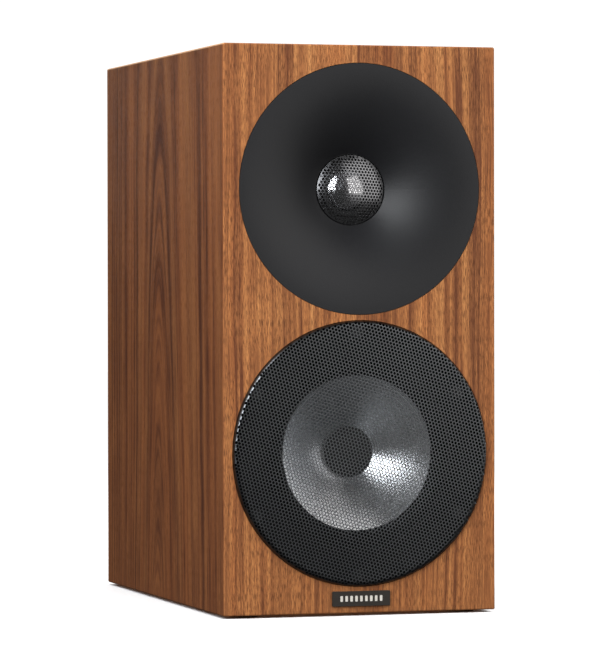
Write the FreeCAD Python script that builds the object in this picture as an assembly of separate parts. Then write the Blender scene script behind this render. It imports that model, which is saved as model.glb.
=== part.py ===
"""Two-way bookshelf loudspeaker with a shallow waveguide, built as the real one comes apart.

X runs to the right as seen from the front, Y runs to the back and Z up.  The origin is under the
middle of the whole loudspeaker, on the surface that it stands on.  A "depth" is a distance behind
the front face of the veneered baffle, and an "out" is a distance behind the floor of the terminal
recess, towards the room.  All sizes are in millimetres.
"""
import FreeCAD, Part
import math
import os

V = FreeCAD.Vector

# ---- cabinet -----------------------------------------------------------------------------------
CAB_W = 160.0
CAB_H = 318.5
CAB_D = 265.0
EDGE_R = 1.0            # sanded edge of the veneer
VENEER_T = 0.6
WALL_T = 15.4           # side, top and bottom boards
BAFFLE_T = 22.0         # baffle board, behind its veneer
REAR_T = 18.0           # rear board, in front of its veneer
PAD_T = 1.5             # self-adhesive foot
PAD_R = 8.0
PAD_INSET = 16.0        # centre of a foot from the cabinet's side
BRACE_T = 12.0
BRACE_FRAME = 18.0      # width left round the brace's windows
BRACE_CORNER = 12.0
FRONT_PROUD = 2.2       # how far the bass grille stands in front of the veneer
REAR_PROUD = 1.0        # how far the rear flanges stand behind the veneer
BADGE_W = 34.0
BADGE_H = 8.4
BADGE_T = 1.2
BADGE_R = 0.6
BADGE_RISE = 8.3        # cabinet's bottom to the middle of the badge

# ---- clearances --------------------------------------------------------------------------------
TRIM_GAP = 0.3          # visible line round a part let into the baffle
GLUE = 0.1              # glue line between a suspension's edge and what it carries
SEAT_GAP = 0.05         # air left at each face of the clamp washer
RUN = 0.07              # running fit of a nut or washer on its thread
HOLE_GAP = 0.1          # clearance of a screw in its hole

# ---- tweeter and waveguide ---------------------------------------------------------------------
TWEETER_DROP = 80.6     # cabinet's top to the middle of the waveguide
HORN_R = 70.4           # rim of the waveguide
HORN_DEPTH = 18.4       # rim to throat
THROAT_R = 20.4
HORN_WALL = 4.5
HORN_RIM_T = 7.0
HORN_RIM_W = 13.4       # width of the thick rim
BOSS_R = 39.0
BOSS_DEPTH = 22.0       # back face of the boss that carries the tweeter
GUARD_T = 0.4           # perforated guard
GUARD_RIM = 0.5         # flat rim round the guard's dome
GUARD_RISE = 4.5
GUARD_LEDGE = 1.7       # width of the step that the guard lies on
GASKET_T = 1.0
HORN_SCREW_IN = 8.4     # rim to the middle of a screw
HORN_SCREW_SKIN = 2.5   # left in front of a screw's point
HORN_SCREWS = 4
FLANGE_T = 4.0
DOME_R = 12.7
DOME_RISE = 4.8
DOME_T = 0.25
DOME_DEPTH = 22.8       # base of the dome
TW_ROLL_W = 3.2
TW_ROLL_RISE = 1.3
TW_ROLL_T = 0.25
TW_LIP_W = 2.0
TW_COIL_T = 0.45
TW_COIL_L = 6.6
TW_GAP = 0.3            # air each side of the coil
TW_PLATE_T = 3.0
TW_MAGNET_R = 30.0
TW_MAGNET_T = 7.0
TW_MAGNET_BORE = 17.0
TW_YOKE_T = 3.5
TW_VENT_R = 3.5
TW_CUP_R = 26.0
TW_CUP_L = 13.0
TW_CUP_T = 2.0
TW_SCREW_IN = 4.2
TW_SCREW_BITE = 7.0
TW_SCREWS = 4

# ---- bass-mid driver ---------------------------------------------------------------------------
WOOFER_RISE = 89.6      # cabinet's bottom to the middle of the driver
GRILLE_R = 74.5         # outside of the pressed lip
GRILLE_T = 0.5
GRILLE_BEND = 2.2
FRAME_DEPTH = 5.0       # front of the basket's flange
FRAME_T = 5.0
FRAME_LAND = 11.5       # width of the flange's raised outer land
SURROUND_DEPTH = 7.2    # ledge that the surround is glued to
SURROUND_LIP = 8.2
SURROUND_T = 0.6
ROLL_RISE = 4.6
CONE_R = 43.7
CONE_DEPTH = 6.8
CONE_T = 0.4
CONE_LIP = 2.6          # flat rim of the cone
COIL_BORE = 12.75       # inside of the coil former
FORMER_T = 0.2
NECK_DEPTH = 24.6
CAP_LAP = 1.5           # dust cap beyond the coil former
CAP_RISE = 3.6
CAP_T = 0.8
SPIDER_DEPTH = 34.0
SPIDER_R = 41.2
SPIDER_T = 0.5
SPIDER_LIP = 4.6        # flat rim glued to the basket
SPIDER_WAVES = 4
SPIDER_AMP = 0.8
PLATE_DEPTH = 46.0      # front of the top plate
PLATE_T = 5.0
PLATE_R = 42.0
COIL_T = 0.6
COIL_L = 10.0
COIL_GAP = 0.35
MAGNET_R = 45.0
MAGNET_BORE = 21.0
MAGNET_T = 14.0
YOKE_T = 5.0
VENT_R = 4.5
BASKET_T = 3.0
BASKET_RING_R = 44.0
SPOKES = 6
SPOKE_W = 11.0
WOOFER_SCREW_IN = 5.9
WOOFER_SCREW_SKIN = 2.0 # left behind a screw's point
WOOFER_SCREWS = 6

# ---- screws ------------------------------------------------------------------------------------
SCREW_R = 2.0
SCREW_HEAD_R = 3.7
SCREW_HEAD_T = 2.2
HEX_R = 1.25            # corner radius of the hexagon socket
HEX_DEPTH = 1.4

# ---- port --------------------------------------------------------------------------------------
PORT_DROP = 94.0        # cabinet's top to the middle of the port
PORT_R = 19.0
PORT_WALL = 2.5
PORT_L = 118.0
PORT_FLARE = 10.0
PORT_INNER_FLARE = 6.0
PORT_LAND = 3.5         # flat of the flange beyond the tube's flared wall
PORT_FLANGE_T = 3.0

# ---- terminals ---------------------------------------------------------------------------------
TERM_RISE = 76.5        # cabinet's bottom to the middle of the plate
TERM_RIM = 13.0         # flange round the recess
TERM_R = 9.0
TERM_T = 3.0
RECESS_W = 70.0
RECESS_H = 46.0
RECESS_R = 8.0
RECESS_DEPTH = 26.0
TERM_SCREW_IN = 7.0     # edge of the flange to the middle of a screw
TERM_SCREW_L = 17.0
POST_PITCH = 19.0       # centre to centre, as a twin 4 mm plug needs
POST_R = 4.0
SOCKET_R = 2.0
SOCKET_L = 16.0
POST_L = 25.5
POST_FLANGE_R = 6.5
POST_FLANGE_T = 2.0
POST_BASE_R = 7.4
POST_BASE_T = 2.0
WIRE_HOLE_R = 1.6
WIRE_HOLE_OUT = 6.6
TAIL_R = 2.5
TAIL_L = 13.0
WASHER_R = 6.6
WASHER_T = 1.4
NUT_R = 7.4
NUT_L = 18.6
NUT_FLUTES = 16
FLUTE_R = 0.75
LOCK_AF = 8.0           # lock nut, across flats
LOCK_T = 4.0
TAG_T = 0.8

# ---- crossover ---------------------------------------------------------------------------------
BOARD_W = 96.0
BOARD_L = 124.0
BOARD_T = 1.6
BOARD_STAND = 5.0       # pillars under the board
BOARD_FRONT = 88.0      # depth of the board's front edge
BOARD_CORNER = 3.0
PILLAR_R = 3.0
PILLAR_IN = 6.0         # board's edge to the middle of a pillar
PIN_R = 1.5
PIN_HEAD_R = 2.4
PIN_HEAD_T = 1.4

# ---- damping -----------------------------------------------------------------------------------
FELT_T = 9.0
FELT_GAP = 0.3

# ---- wires -------------------------------------------------------------------------------------
WIRE_R = 1.2
STRIP_W = 26.0
STRIP_H = 10.0
STRIP_T = 1.8
STRIP_GAP = 1.0         # magnet to the tag strip
TAB_X = 7.0
TAB_W = 4.8
TAB_T = 0.8
TAB_L = 11.0
TAB_FOOT = 5.0
TWEETER_TAB_L = 8.0
TAG_W = 4.0
TAG_DROP = 10.5         # post's axis to the wire on its tag

# ---- places that follow from the sizes ---------------------------------------------------------
FRONT_Y = FRONT_PROUD - (CAB_D + FRONT_PROUD + REAR_PROUD) / 2
BACK_Y = FRONT_Y + CAB_D
CAB_Z0 = PAD_T
CAB_Z1 = PAD_T + CAB_H
WOOFER_Z = CAB_Z0 + WOOFER_RISE
TWEETER_Z = CAB_Z1 - TWEETER_DROP
PORT_Z = CAB_Z1 - PORT_DROP
TERM_Z = CAB_Z0 + TERM_RISE
BADGE_Z = CAB_Z0 + BADGE_RISE
BRACE_Z = (WOOFER_Z + GRILLE_R + TWEETER_Z - HORN_R) / 2
BAFFLE_BACK = VENEER_T + BAFFLE_T
REAR_FRONT = CAB_D - VENEER_T - REAR_T
INNER_W = CAB_W - 2 * (VENEER_T + WALL_T)
INNER_Z0 = CAB_Z0 + VENEER_T + WALL_T
INNER_Z1 = CAB_Z1 - VENEER_T - WALL_T
HORN_CURVE = ((HORN_R - THROAT_R) ** 2 + HORN_DEPTH ** 2) / (2 * HORN_DEPTH)
HORN_RIM_IN = HORN_R - HORN_RIM_W
HORN_SEAT = HORN_RIM_T + GASKET_T
HORN_SCREW_PCR = HORN_R - HORN_SCREW_IN
GUARD_R = THROAT_R - TRIM_GAP
GUARD_DOME_R = GUARD_R - GUARD_RIM
GUARD_SEAT = THROAT_R - GUARD_LEDGE
GUARD_DEPTH = HORN_DEPTH + 0.2
WOOFER_SCREW_PCR = GRILLE_R - WOOFER_SCREW_IN
TW_SCREW_PCR = BOSS_R - TW_SCREW_IN
WOOFER_SEAT = FRAME_DEPTH + FRAME_T + GASKET_T
FORMER_R = COIL_BORE + FORMER_T
CAP_R = FORMER_R + CAP_LAP
PLATE_BORE = FORMER_R + COIL_T + COIL_GAP
POLE_R = COIL_BORE - COIL_GAP - 0.05
YOKE_DEPTH = PLATE_DEPTH + PLATE_T + MAGNET_T
COIL_DEPTH = PLATE_DEPTH + (PLATE_T - COIL_L) / 2
ROLL_IN = CONE_R + 0.5
ROLL_OUT = GRILLE_R - FRAME_LAND - SURROUND_LIP
STRIP_Z = WOOFER_Z + MAGNET_R + STRIP_GAP
WOOFER_TAB_Z = STRIP_Z + STRIP_H / 2
WOOFER_TAB_DEPTH = PLATE_DEPTH + STRIP_T
TW_FLANGE_BACK = BOSS_DEPTH + FLANGE_T
TWEETER_TAB_X = (BOSS_R + TW_MAGNET_R) / 2
TW_MAGNET_DEPTH = TW_FLANGE_BACK + TW_PLATE_T
TW_YOKE_DEPTH = TW_MAGNET_DEPTH + TW_MAGNET_T
TW_CUP_DEPTH = TW_YOKE_DEPTH + TW_YOKE_T
TW_COIL_R = DOME_R - 0.1
TW_PLATE_BORE = TW_COIL_R + TW_GAP
TW_POLE_R = TW_COIL_R - TW_COIL_T - TW_GAP
PORT_FLANGE_R = PORT_R + PORT_FLARE + PORT_WALL + PORT_LAND
TERM_W = RECESS_W + 2 * TERM_RIM
TERM_H = RECESS_H + 2 * TERM_RIM
RECESS_Y = BACK_Y + REAR_PROUD - RECESS_DEPTH
TAG_BACK = -TERM_T - POST_BASE_T - TAG_T
BOARD_Z = INNER_Z0 + BOARD_STAND


# ---- helpers -----------------------------------------------------------------------------------
def outline(start, *moves):
    """A closed face in the (radius, depth) plane.  A move is a point, or (point on the arc, end)."""
    edges = []
    here = start
    for move in moves + (start,):
        if isinstance(move[0], tuple):
            middle, end = move
            edges.append(Part.Arc(V(*here, 0), V(*middle, 0), V(*end, 0)).toShape())
        else:
            end = move
            if math.dist(here, end) > 1e-6:
                edges.append(Part.LineSegment(V(*here, 0), V(*end, 0)).toShape())
        here = end
    return Part.Face(Part.Wire(edges))


def turned(z, start, *moves):
    """A solid turned from an outline, on the front-to-back axis at height z."""
    face = outline(start, *moves)
    solid = face.revolve(V(0, 0, 0), V(0, 1, 0), 360)
    if solid.Volume < 0:
        solid.reverse()
    solid.translate(V(0, FRONT_Y, z))
    return solid


def ring(z, inner, outer, depth0, depth1):
    """A plain ring or disc between two depths."""
    if inner <= 0:
        return turned(z, (0, depth0), (outer, depth0), (outer, depth1), (0, depth1))
    return turned(z, (inner, depth0), (outer, depth0), (outer, depth1), (inner, depth1))


def block(x0, x1, depth0, depth1, z0, z1):
    """A rectangular block, its front and back given as depths."""
    return Part.makeBox(x1 - x0, depth1 - depth0, z1 - z0, V(x0, FRONT_Y + depth0, z0))


def board(x0, x1, depth0, depth1, z0, z1, corner):
    """A block whose four edges along the depth are rounded."""
    solid = block(x0, x1, depth0, depth1, z0, z1)
    along = [e for e in solid.Edges if abs(e.tangentAt(e.FirstParameter).y) > 0.99]
    return solid.makeFillet(corner, along)


def round_places(count, radius, z, turn=0.0):
    """Points (x, z) evenly spaced on a circle round the axis at height z."""
    places = []
    for i in range(count):
        angle = math.radians(turn + 360 * i / count)
        places.append((radius * math.cos(angle), z + radius * math.sin(angle)))
    return places


def rod(x, z, radius, depth0, depth1):
    """A cylinder along the depth."""
    return Part.makeCylinder(radius, depth1 - depth0, V(x, FRONT_Y + depth0, z), V(0, 1, 0))


def hexagon(x, z, corner, y0, length):
    """A hexagonal bar along Y."""
    points = []
    for i in range(7):
        angle = math.radians(60 * i + 30)
        points.append(V(x + corner * math.cos(angle), y0, z + corner * math.sin(angle)))
    return Part.Face(Part.makePolygon(points)).extrude(V(0, length, 0))


def screw(x, z, y_head, length, direction, sunk):
    """A socket screw along Y: its head at y_head, its point the way that direction (+1 or -1) says."""
    profile = [V(0, 0, 0), V(SCREW_HEAD_R, 0, 0)]
    if not sunk:
        profile.append(V(SCREW_HEAD_R, SCREW_HEAD_T, 0))
    profile += [V(SCREW_R, SCREW_HEAD_T, 0), V(SCREW_R, length - SCREW_R, 0), V(0, length, 0), V(0, 0, 0)]
    solid = Part.Face(Part.makePolygon(profile)).revolve(V(0, 0, 0), V(0, 1, 0), 360)
    if solid.Volume < 0:
        solid.reverse()
    solid = solid.cut(hexagon(0, 0, HEX_R, -0.5, HEX_DEPTH + 0.5))
    if direction < 0:
        solid.rotate(V(0, 0, 0), V(0, 0, 1), 180)
    solid.translate(V(x, y_head, z))
    return solid


def sunk_hole(x, z, y_head, length, direction):
    """What a sunk screw needs cut away: its head fits the sink, and its shank has clearance."""
    hole_r = SCREW_R + HOLE_GAP
    slope = SCREW_HEAD_T / (SCREW_HEAD_R - SCREW_R)
    points = [V(0, -0.5, 0), V(SCREW_HEAD_R, -0.5, 0), V(SCREW_HEAD_R, 0, 0)]
    points += [V(hole_r, (SCREW_HEAD_R - hole_r) * slope, 0), V(hole_r, length, 0), V(0, length, 0)]
    solid = Part.Face(Part.makePolygon(points + [points[0]])).revolve(V(0, 0, 0), V(0, 1, 0), 360)
    if solid.Volume < 0:
        solid.reverse()
    if direction < 0:
        solid.rotate(V(0, 0, 0), V(0, 0, 1), 180)
    solid.translate(V(x, y_head, z))
    return solid


def cut_all(solid, tools):
    """solid with every tool cut away."""
    return solid.cut(Part.makeCompound(tools)) if tools else solid


def arc_radius(a, b, c):
    """Radius of the arc at b, and how far it starts from b."""
    before = (b - a)
    after = (c - b)
    turn = before.getAngle(after)
    reach = 0.45 * min(before.Length, after.Length)
    return reach / math.tan(turn / 2), reach


def wire(name, points, radius):
    """A cable: straight runs joined by the largest tangent arcs that they allow."""
    points = [V(*p) for p in points]
    edges = []
    here = points[0]
    radii = []
    for a, b, c in zip(points, points[1:], points[2:]):
        bend, reach = arc_radius(a, b, c)
        radii.append(round(bend, 1))
        start = b + (a - b).normalize() * reach
        end = b + (c - b).normalize() * reach
        inward = ((a - b).normalize() + (c - b).normalize()).normalize()
        centre = b + inward * math.hypot(reach, bend)
        middle = centre - inward * bend
        edges.append(Part.LineSegment(here, start).toShape())
        edges.append(Part.Arc(start, middle, end).toShape())
        here = end
    edges.append(Part.LineSegment(here, points[-1]).toShape())
    path = Part.Wire(edges)
    profile = Part.Wire(Part.makeCircle(radius, points[0], points[1] - points[0]))
    tube = path.makePipeShell([profile], True, False)
    share = tube.Volume / (math.pi * radius ** 2 * path.Length)
    print(f"{name}: length {path.Length:.0f} mm, radii {radii}, volume share {share:.4f}")
    return tube


# ---- cabinet -----------------------------------------------------------------------------------
def veneers(parts):
    """Six mitred sheets of veneer, cut from one rounded skin."""
    low = V(-CAB_W / 2, FRONT_Y, CAB_Z0)
    high = V(CAB_W / 2, BACK_Y, CAB_Z1)
    skin = Part.makeBox(CAB_W, CAB_D, CAB_H, low)
    skin = skin.makeFillet(EDGE_R, skin.Edges)
    sides = ("left", "right", "front", "rear", "bottom", "top")
    for number, name in enumerate(sides):
        axis, end = divmod(number, 2)
        others = [k for k in range(3) if k != axis]
        loops = []
        for inset in (0.0, VENEER_T):
            level = (high if end else low)[axis] + (-inset if end else inset)
            loop = []
            for far in ((0, 0), (1, 0), (1, 1), (0, 1), (0, 0)):
                point = [0.0, 0.0, 0.0]
                point[axis] = level
                for k, side in zip(others, far):
                    point[k] = high[k] - inset if side else low[k] + inset
                loop.append(V(*point))
            loops.append(Part.makePolygon(loop))
        sheet = Part.makeLoft(loops, True, True)
        parts[name + "_veneer"] = sheet.common(skin)
    cuts = [ring(TWEETER_Z, 0, HORN_R + TRIM_GAP, -1, 2), ring(WOOFER_Z, 0, GRILLE_R + TRIM_GAP, -1, 2)]
    parts["front_veneer"] = cut_all(parts["front_veneer"], cuts)
    parts["rear_veneer"] = cut_all(parts["rear_veneer"], rear_pockets())


def baffle_cuts():
    """Everything let into the baffle."""
    cuts = [
        ring(TWEETER_Z, 0, HORN_R + TRIM_GAP, -1, HORN_SEAT),
        ring(TWEETER_Z, 0, HORN_RIM_IN - 6.0, -1, BAFFLE_BACK + 1),
        ring(WOOFER_Z, 0, GRILLE_R + TRIM_GAP, -1, WOOFER_SEAT),
        ring(WOOFER_Z, 0, GRILLE_R - FRAME_LAND - 1.0, -1, BAFFLE_BACK + 1),
    ]
    for x, z in round_places(HORN_SCREWS, HORN_SCREW_PCR, TWEETER_Z, 45):
        cuts.append(rod(x, z, SCREW_R + HOLE_GAP, 0, BAFFLE_BACK + 1))
    for x, z in round_places(WOOFER_SCREWS, WOOFER_SCREW_PCR, WOOFER_Z, 30):
        cuts.append(rod(x, z, SCREW_R, 0, BAFFLE_BACK - WOOFER_SCREW_SKIN / 2))
    return cuts


def rear_pockets():
    """Everything let into the rear board."""
    half_w = TERM_W / 2 + TRIM_GAP
    half_h = TERM_H / 2 + TRIM_GAP
    flange_front = CAB_D + REAR_PROUD - TERM_T
    port_front = CAB_D + REAR_PROUD - PORT_FLANGE_T
    wall = RECESS_W / 2 + TERM_T + 0.5
    wall_h = RECESS_H / 2 + TERM_T + 0.5
    cuts = [
        board(-half_w, half_w, flange_front, CAB_D + 5, TERM_Z - half_h, TERM_Z + half_h, TERM_R),
        board(-wall, wall, REAR_FRONT - 1, CAB_D + 5, TERM_Z - wall_h, TERM_Z + wall_h, RECESS_R + TERM_T),
        ring(PORT_Z, 0, PORT_FLANGE_R + TRIM_GAP, port_front, CAB_D + 5),
        ring(PORT_Z, 0, PORT_R + PORT_FLARE + PORT_WALL + 1.0, REAR_FRONT - 1, CAB_D + 5),
    ]
    for x, z in terminal_screw_places():
        cuts.append(rod(x, z, SCREW_R, CAB_D + REAR_PROUD - TERM_SCREW_L - 1, CAB_D + 5))
    return cuts


def terminal_screw_places():
    """Where the terminal plate's four screws go."""
    across = TERM_W / 2 - TERM_SCREW_IN
    up = TERM_H / 2 - TERM_SCREW_IN
    return [(sx * across, TERM_Z + sz * up) for sx in (-1, 1) for sz in (-1, 1)]


def cabinet(parts):
    """Boards, brace, feet and badge."""
    half = CAB_W / 2 - VENEER_T
    low = CAB_Z0 + VENEER_T
    high = CAB_Z1 - VENEER_T
    front = block(-half, half, VENEER_T, BAFFLE_BACK, low, high)
    parts["front_baffle"] = cut_all(front, baffle_cuts())
    rear = block(-half, half, REAR_FRONT, CAB_D - VENEER_T, low, high)
    parts["rear_panel"] = cut_all(rear, rear_pockets())
    parts["left_side_panel"] = block(-half, -half + WALL_T, BAFFLE_BACK, REAR_FRONT, low, high)
    parts["right_side_panel"] = block(half - WALL_T, half, BAFFLE_BACK, REAR_FRONT, low, high)
    inner = INNER_W / 2
    parts["bottom_panel"] = block(-inner, inner, BAFFLE_BACK, REAR_FRONT, low, INNER_Z0)
    parts["top_panel"] = block(-inner, inner, BAFFLE_BACK, REAR_FRONT, INNER_Z1, high)
    brace = block(-inner, inner, BAFFLE_BACK, REAR_FRONT, BRACE_Z - BRACE_T / 2, BRACE_Z + BRACE_T / 2)
    window_l = (REAR_FRONT - BAFFLE_BACK - 3 * BRACE_FRAME) / 2
    for i in range(2):
        start = BAFFLE_BACK + BRACE_FRAME + i * (window_l + BRACE_FRAME)
        edge = inner - BRACE_FRAME
        hole = block(-edge, edge, start, start + window_l, BRACE_Z - BRACE_T, BRACE_Z + BRACE_T)
        upright = [e for e in hole.Edges if abs(e.tangentAt(e.FirstParameter).z) > 0.99]
        brace = brace.cut(hole.makeFillet(BRACE_CORNER, upright))
    parts["window_brace"] = brace
    pads = []
    for x in (-CAB_W / 2 + PAD_INSET, CAB_W / 2 - PAD_INSET):
        for y in (FRONT_Y + PAD_INSET, BACK_Y - PAD_INSET):
            pads.append(Part.makeCylinder(PAD_R, PAD_T, V(x, y, 0)))
    parts["foot_pads"] = Part.makeCompound(pads)
    low = BADGE_Z - BADGE_H / 2
    parts["badge_plate"] = board(-BADGE_W / 2, BADGE_W / 2, -BADGE_T, 0, low, low + BADGE_H, BADGE_R)


# ---- waveguide and tweeter ---------------------------------------------------------------------
def horn_depth(radius, inset=0.0):
    """Depth of the waveguide's face, or of a face that far behind it."""
    return HORN_CURVE - math.sqrt((HORN_CURVE - inset) ** 2 - (HORN_R - radius) ** 2)


def waveguide(parts):
    """Flared black waveguide with a thick rim, a boss for the tweeter and a ledge for the guard."""
    middle = (HORN_R + THROAT_R) / 2
    back_middle = (HORN_RIM_IN + BOSS_R) / 2
    ledge = GUARD_DEPTH + GUARD_T
    solid = turned(
        TWEETER_Z,
        (HORN_R, 0), (HORN_R, HORN_RIM_T), (HORN_RIM_IN, HORN_RIM_T),
        (HORN_RIM_IN, horn_depth(HORN_RIM_IN, HORN_WALL)),
        ((back_middle, horn_depth(back_middle, HORN_WALL)), (BOSS_R, horn_depth(BOSS_R, HORN_WALL))),
        (BOSS_R, BOSS_DEPTH), (GUARD_SEAT, BOSS_DEPTH), (GUARD_SEAT, ledge), (THROAT_R, ledge),
        (THROAT_R, HORN_DEPTH), ((middle, horn_depth(middle)), (HORN_R, 0)),
    )
    outer = round_places(HORN_SCREWS, HORN_SCREW_PCR, TWEETER_Z, 45)
    inner = round_places(TW_SCREWS, TW_SCREW_PCR, TWEETER_Z, 45)
    holes = [rod(x, z, SCREW_R, HORN_SCREW_SKIN, BOSS_DEPTH) for x, z in outer]
    holes += [rod(x, z, SCREW_R, BOSS_DEPTH - TW_SCREW_BITE, BOSS_DEPTH + 1) for x, z in inner]
    parts["waveguide"] = cut_all(solid, holes)
    head = BAFFLE_BACK + SCREW_HEAD_T
    parts["waveguide_screws"] = Part.makeCompound(
        [screw(x, z, FRONT_Y + head, head - HORN_SCREW_SKIN, -1, False) for x, z in outer])


def guard(parts):
    """Domed guard in the throat; its perforation is left to the finish."""
    seat = GUARD_DEPTH
    inner_r = GUARD_DOME_R - GUARD_T
    rise = GUARD_RISE - GUARD_T
    chord = 0.707
    parts["tweeter_grille"] = turned(
        TWEETER_Z,
        (0, seat - GUARD_RISE),
        (dome_point(GUARD_DOME_R, GUARD_RISE, chord, seat), (GUARD_DOME_R, seat)),
        (GUARD_R, seat), (GUARD_R, seat + GUARD_T), (inner_r, seat + GUARD_T),
        (dome_point(inner_r, rise, chord, seat + GUARD_T), (0, seat + GUARD_T - rise)),
    )


def dome_point(base, rise, share, depth):
    """A point of a spherical cap of that base radius and rise, at a share of the base radius."""
    ball = (base ** 2 + rise ** 2) / (2 * rise)
    r = base * share
    return (r, depth - rise + ball - math.sqrt(ball ** 2 - r ** 2))


def tweeter(parts):
    """Dome, coil, half-roll surround and motor of the tweeter."""
    z = TWEETER_Z
    inner = DOME_R - DOME_T
    parts["tweeter_dome"] = turned(
        z, (0, DOME_DEPTH - DOME_RISE),
        (dome_point(DOME_R, DOME_RISE, 0.707, DOME_DEPTH), (DOME_R, DOME_DEPTH)),
        (inner, DOME_DEPTH),
        (dome_point(inner, DOME_RISE - DOME_T, 0.707, DOME_DEPTH), (0, DOME_DEPTH - DOME_RISE + DOME_T)),
    )
    coil_end = DOME_DEPTH + TW_COIL_L
    parts["tweeter_voice_coil"] = ring(z, TW_COIL_R - TW_COIL_T, TW_COIL_R, DOME_DEPTH, coil_end)
    roll_in = DOME_R + GLUE
    roll_out = roll_in + TW_ROLL_W
    middle = (roll_in + roll_out) / 2
    t = TW_ROLL_T
    lip = roll_out + TW_LIP_W
    base = DOME_DEPTH
    top = base - TW_ROLL_RISE
    parts["tweeter_surround"] = turned(
        z, (roll_in, base), ((middle, top), (roll_out, base)), (lip, base), (lip, base + t),
        (roll_out - t, base + t), ((middle, top + t), (roll_in + t, base + t)), (roll_in, base + t),
    )
    ledge = base + t
    flange = turned(
        z, (roll_out - 0.2, ledge), (lip + GLUE, ledge), (lip + GLUE, BOSS_DEPTH), (BOSS_R, BOSS_DEPTH),
        (BOSS_R, TW_FLANGE_BACK), (roll_out - 0.2, TW_FLANGE_BACK),
    )
    places = round_places(TW_SCREWS, TW_SCREW_PCR, z, 45)
    hole_r = SCREW_R + HOLE_GAP
    holes = [rod(x, h, hole_r, BOSS_DEPTH - 1, TW_FLANGE_BACK + 1) for x, h in places]
    parts["tweeter_flange"] = cut_all(flange, holes)
    head_y = FRONT_Y + TW_FLANGE_BACK + SCREW_HEAD_T
    parts["tweeter_screws"] = Part.makeCompound(
        [screw(x, h, head_y, SCREW_HEAD_T + FLANGE_T + TW_SCREW_BITE, -1, False) for x, h in places])
    parts["tweeter_top_plate"] = ring(z, TW_PLATE_BORE, TW_MAGNET_R, TW_FLANGE_BACK, TW_MAGNET_DEPTH)
    parts["tweeter_magnet"] = ring(z, TW_MAGNET_BORE, TW_MAGNET_R, TW_MAGNET_DEPTH, TW_YOKE_DEPTH)
    parts["tweeter_yoke"] = turned(
        z, (TW_VENT_R, TW_FLANGE_BACK), (TW_POLE_R, TW_FLANGE_BACK), (TW_POLE_R, TW_YOKE_DEPTH),
        (TW_MAGNET_R, TW_YOKE_DEPTH), (TW_MAGNET_R, TW_CUP_DEPTH), (TW_VENT_R, TW_CUP_DEPTH),
    )
    cup_end = TW_CUP_DEPTH + TW_CUP_L
    parts["tweeter_rear_cup"] = turned(
        z, (TW_CUP_R - TW_CUP_T, TW_CUP_DEPTH), (TW_CUP_R, TW_CUP_DEPTH), (TW_CUP_R, cup_end - 3),
        ((TW_CUP_R - 0.88, cup_end - 0.88), (TW_CUP_R - 3, cup_end)), (0, cup_end), (0, cup_end - TW_CUP_T),
        (TW_CUP_R - TW_CUP_T, cup_end - TW_CUP_T),
    )


# ---- bass-mid driver ---------------------------------------------------------------------------
def woofer_grille(parts):
    """Pressed pan grille: flat face, rounded edge, lip that stands on the basket's flange."""
    face = -FRONT_PROUD
    back = face + GRILLE_T
    flat_r = GRILLE_R - GRILLE_BEND
    inner_bend = GRILLE_BEND - GRILLE_T
    lip_in = GRILLE_R - GRILLE_T
    k = math.sqrt(0.5)
    parts["woofer_grille"] = turned(
        WOOFER_Z, (0, face), (flat_r, face),
        ((flat_r + GRILLE_BEND * k, face + GRILLE_BEND * (1 - k)), (GRILLE_R, face + GRILLE_BEND)),
        (GRILLE_R, FRAME_DEPTH), (lip_in, FRAME_DEPTH), (lip_in, face + GRILLE_BEND),
        ((flat_r + inner_bend * k, back + inner_bend * (1 - k)), (flat_r, back)), (0, back),
    )


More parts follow.
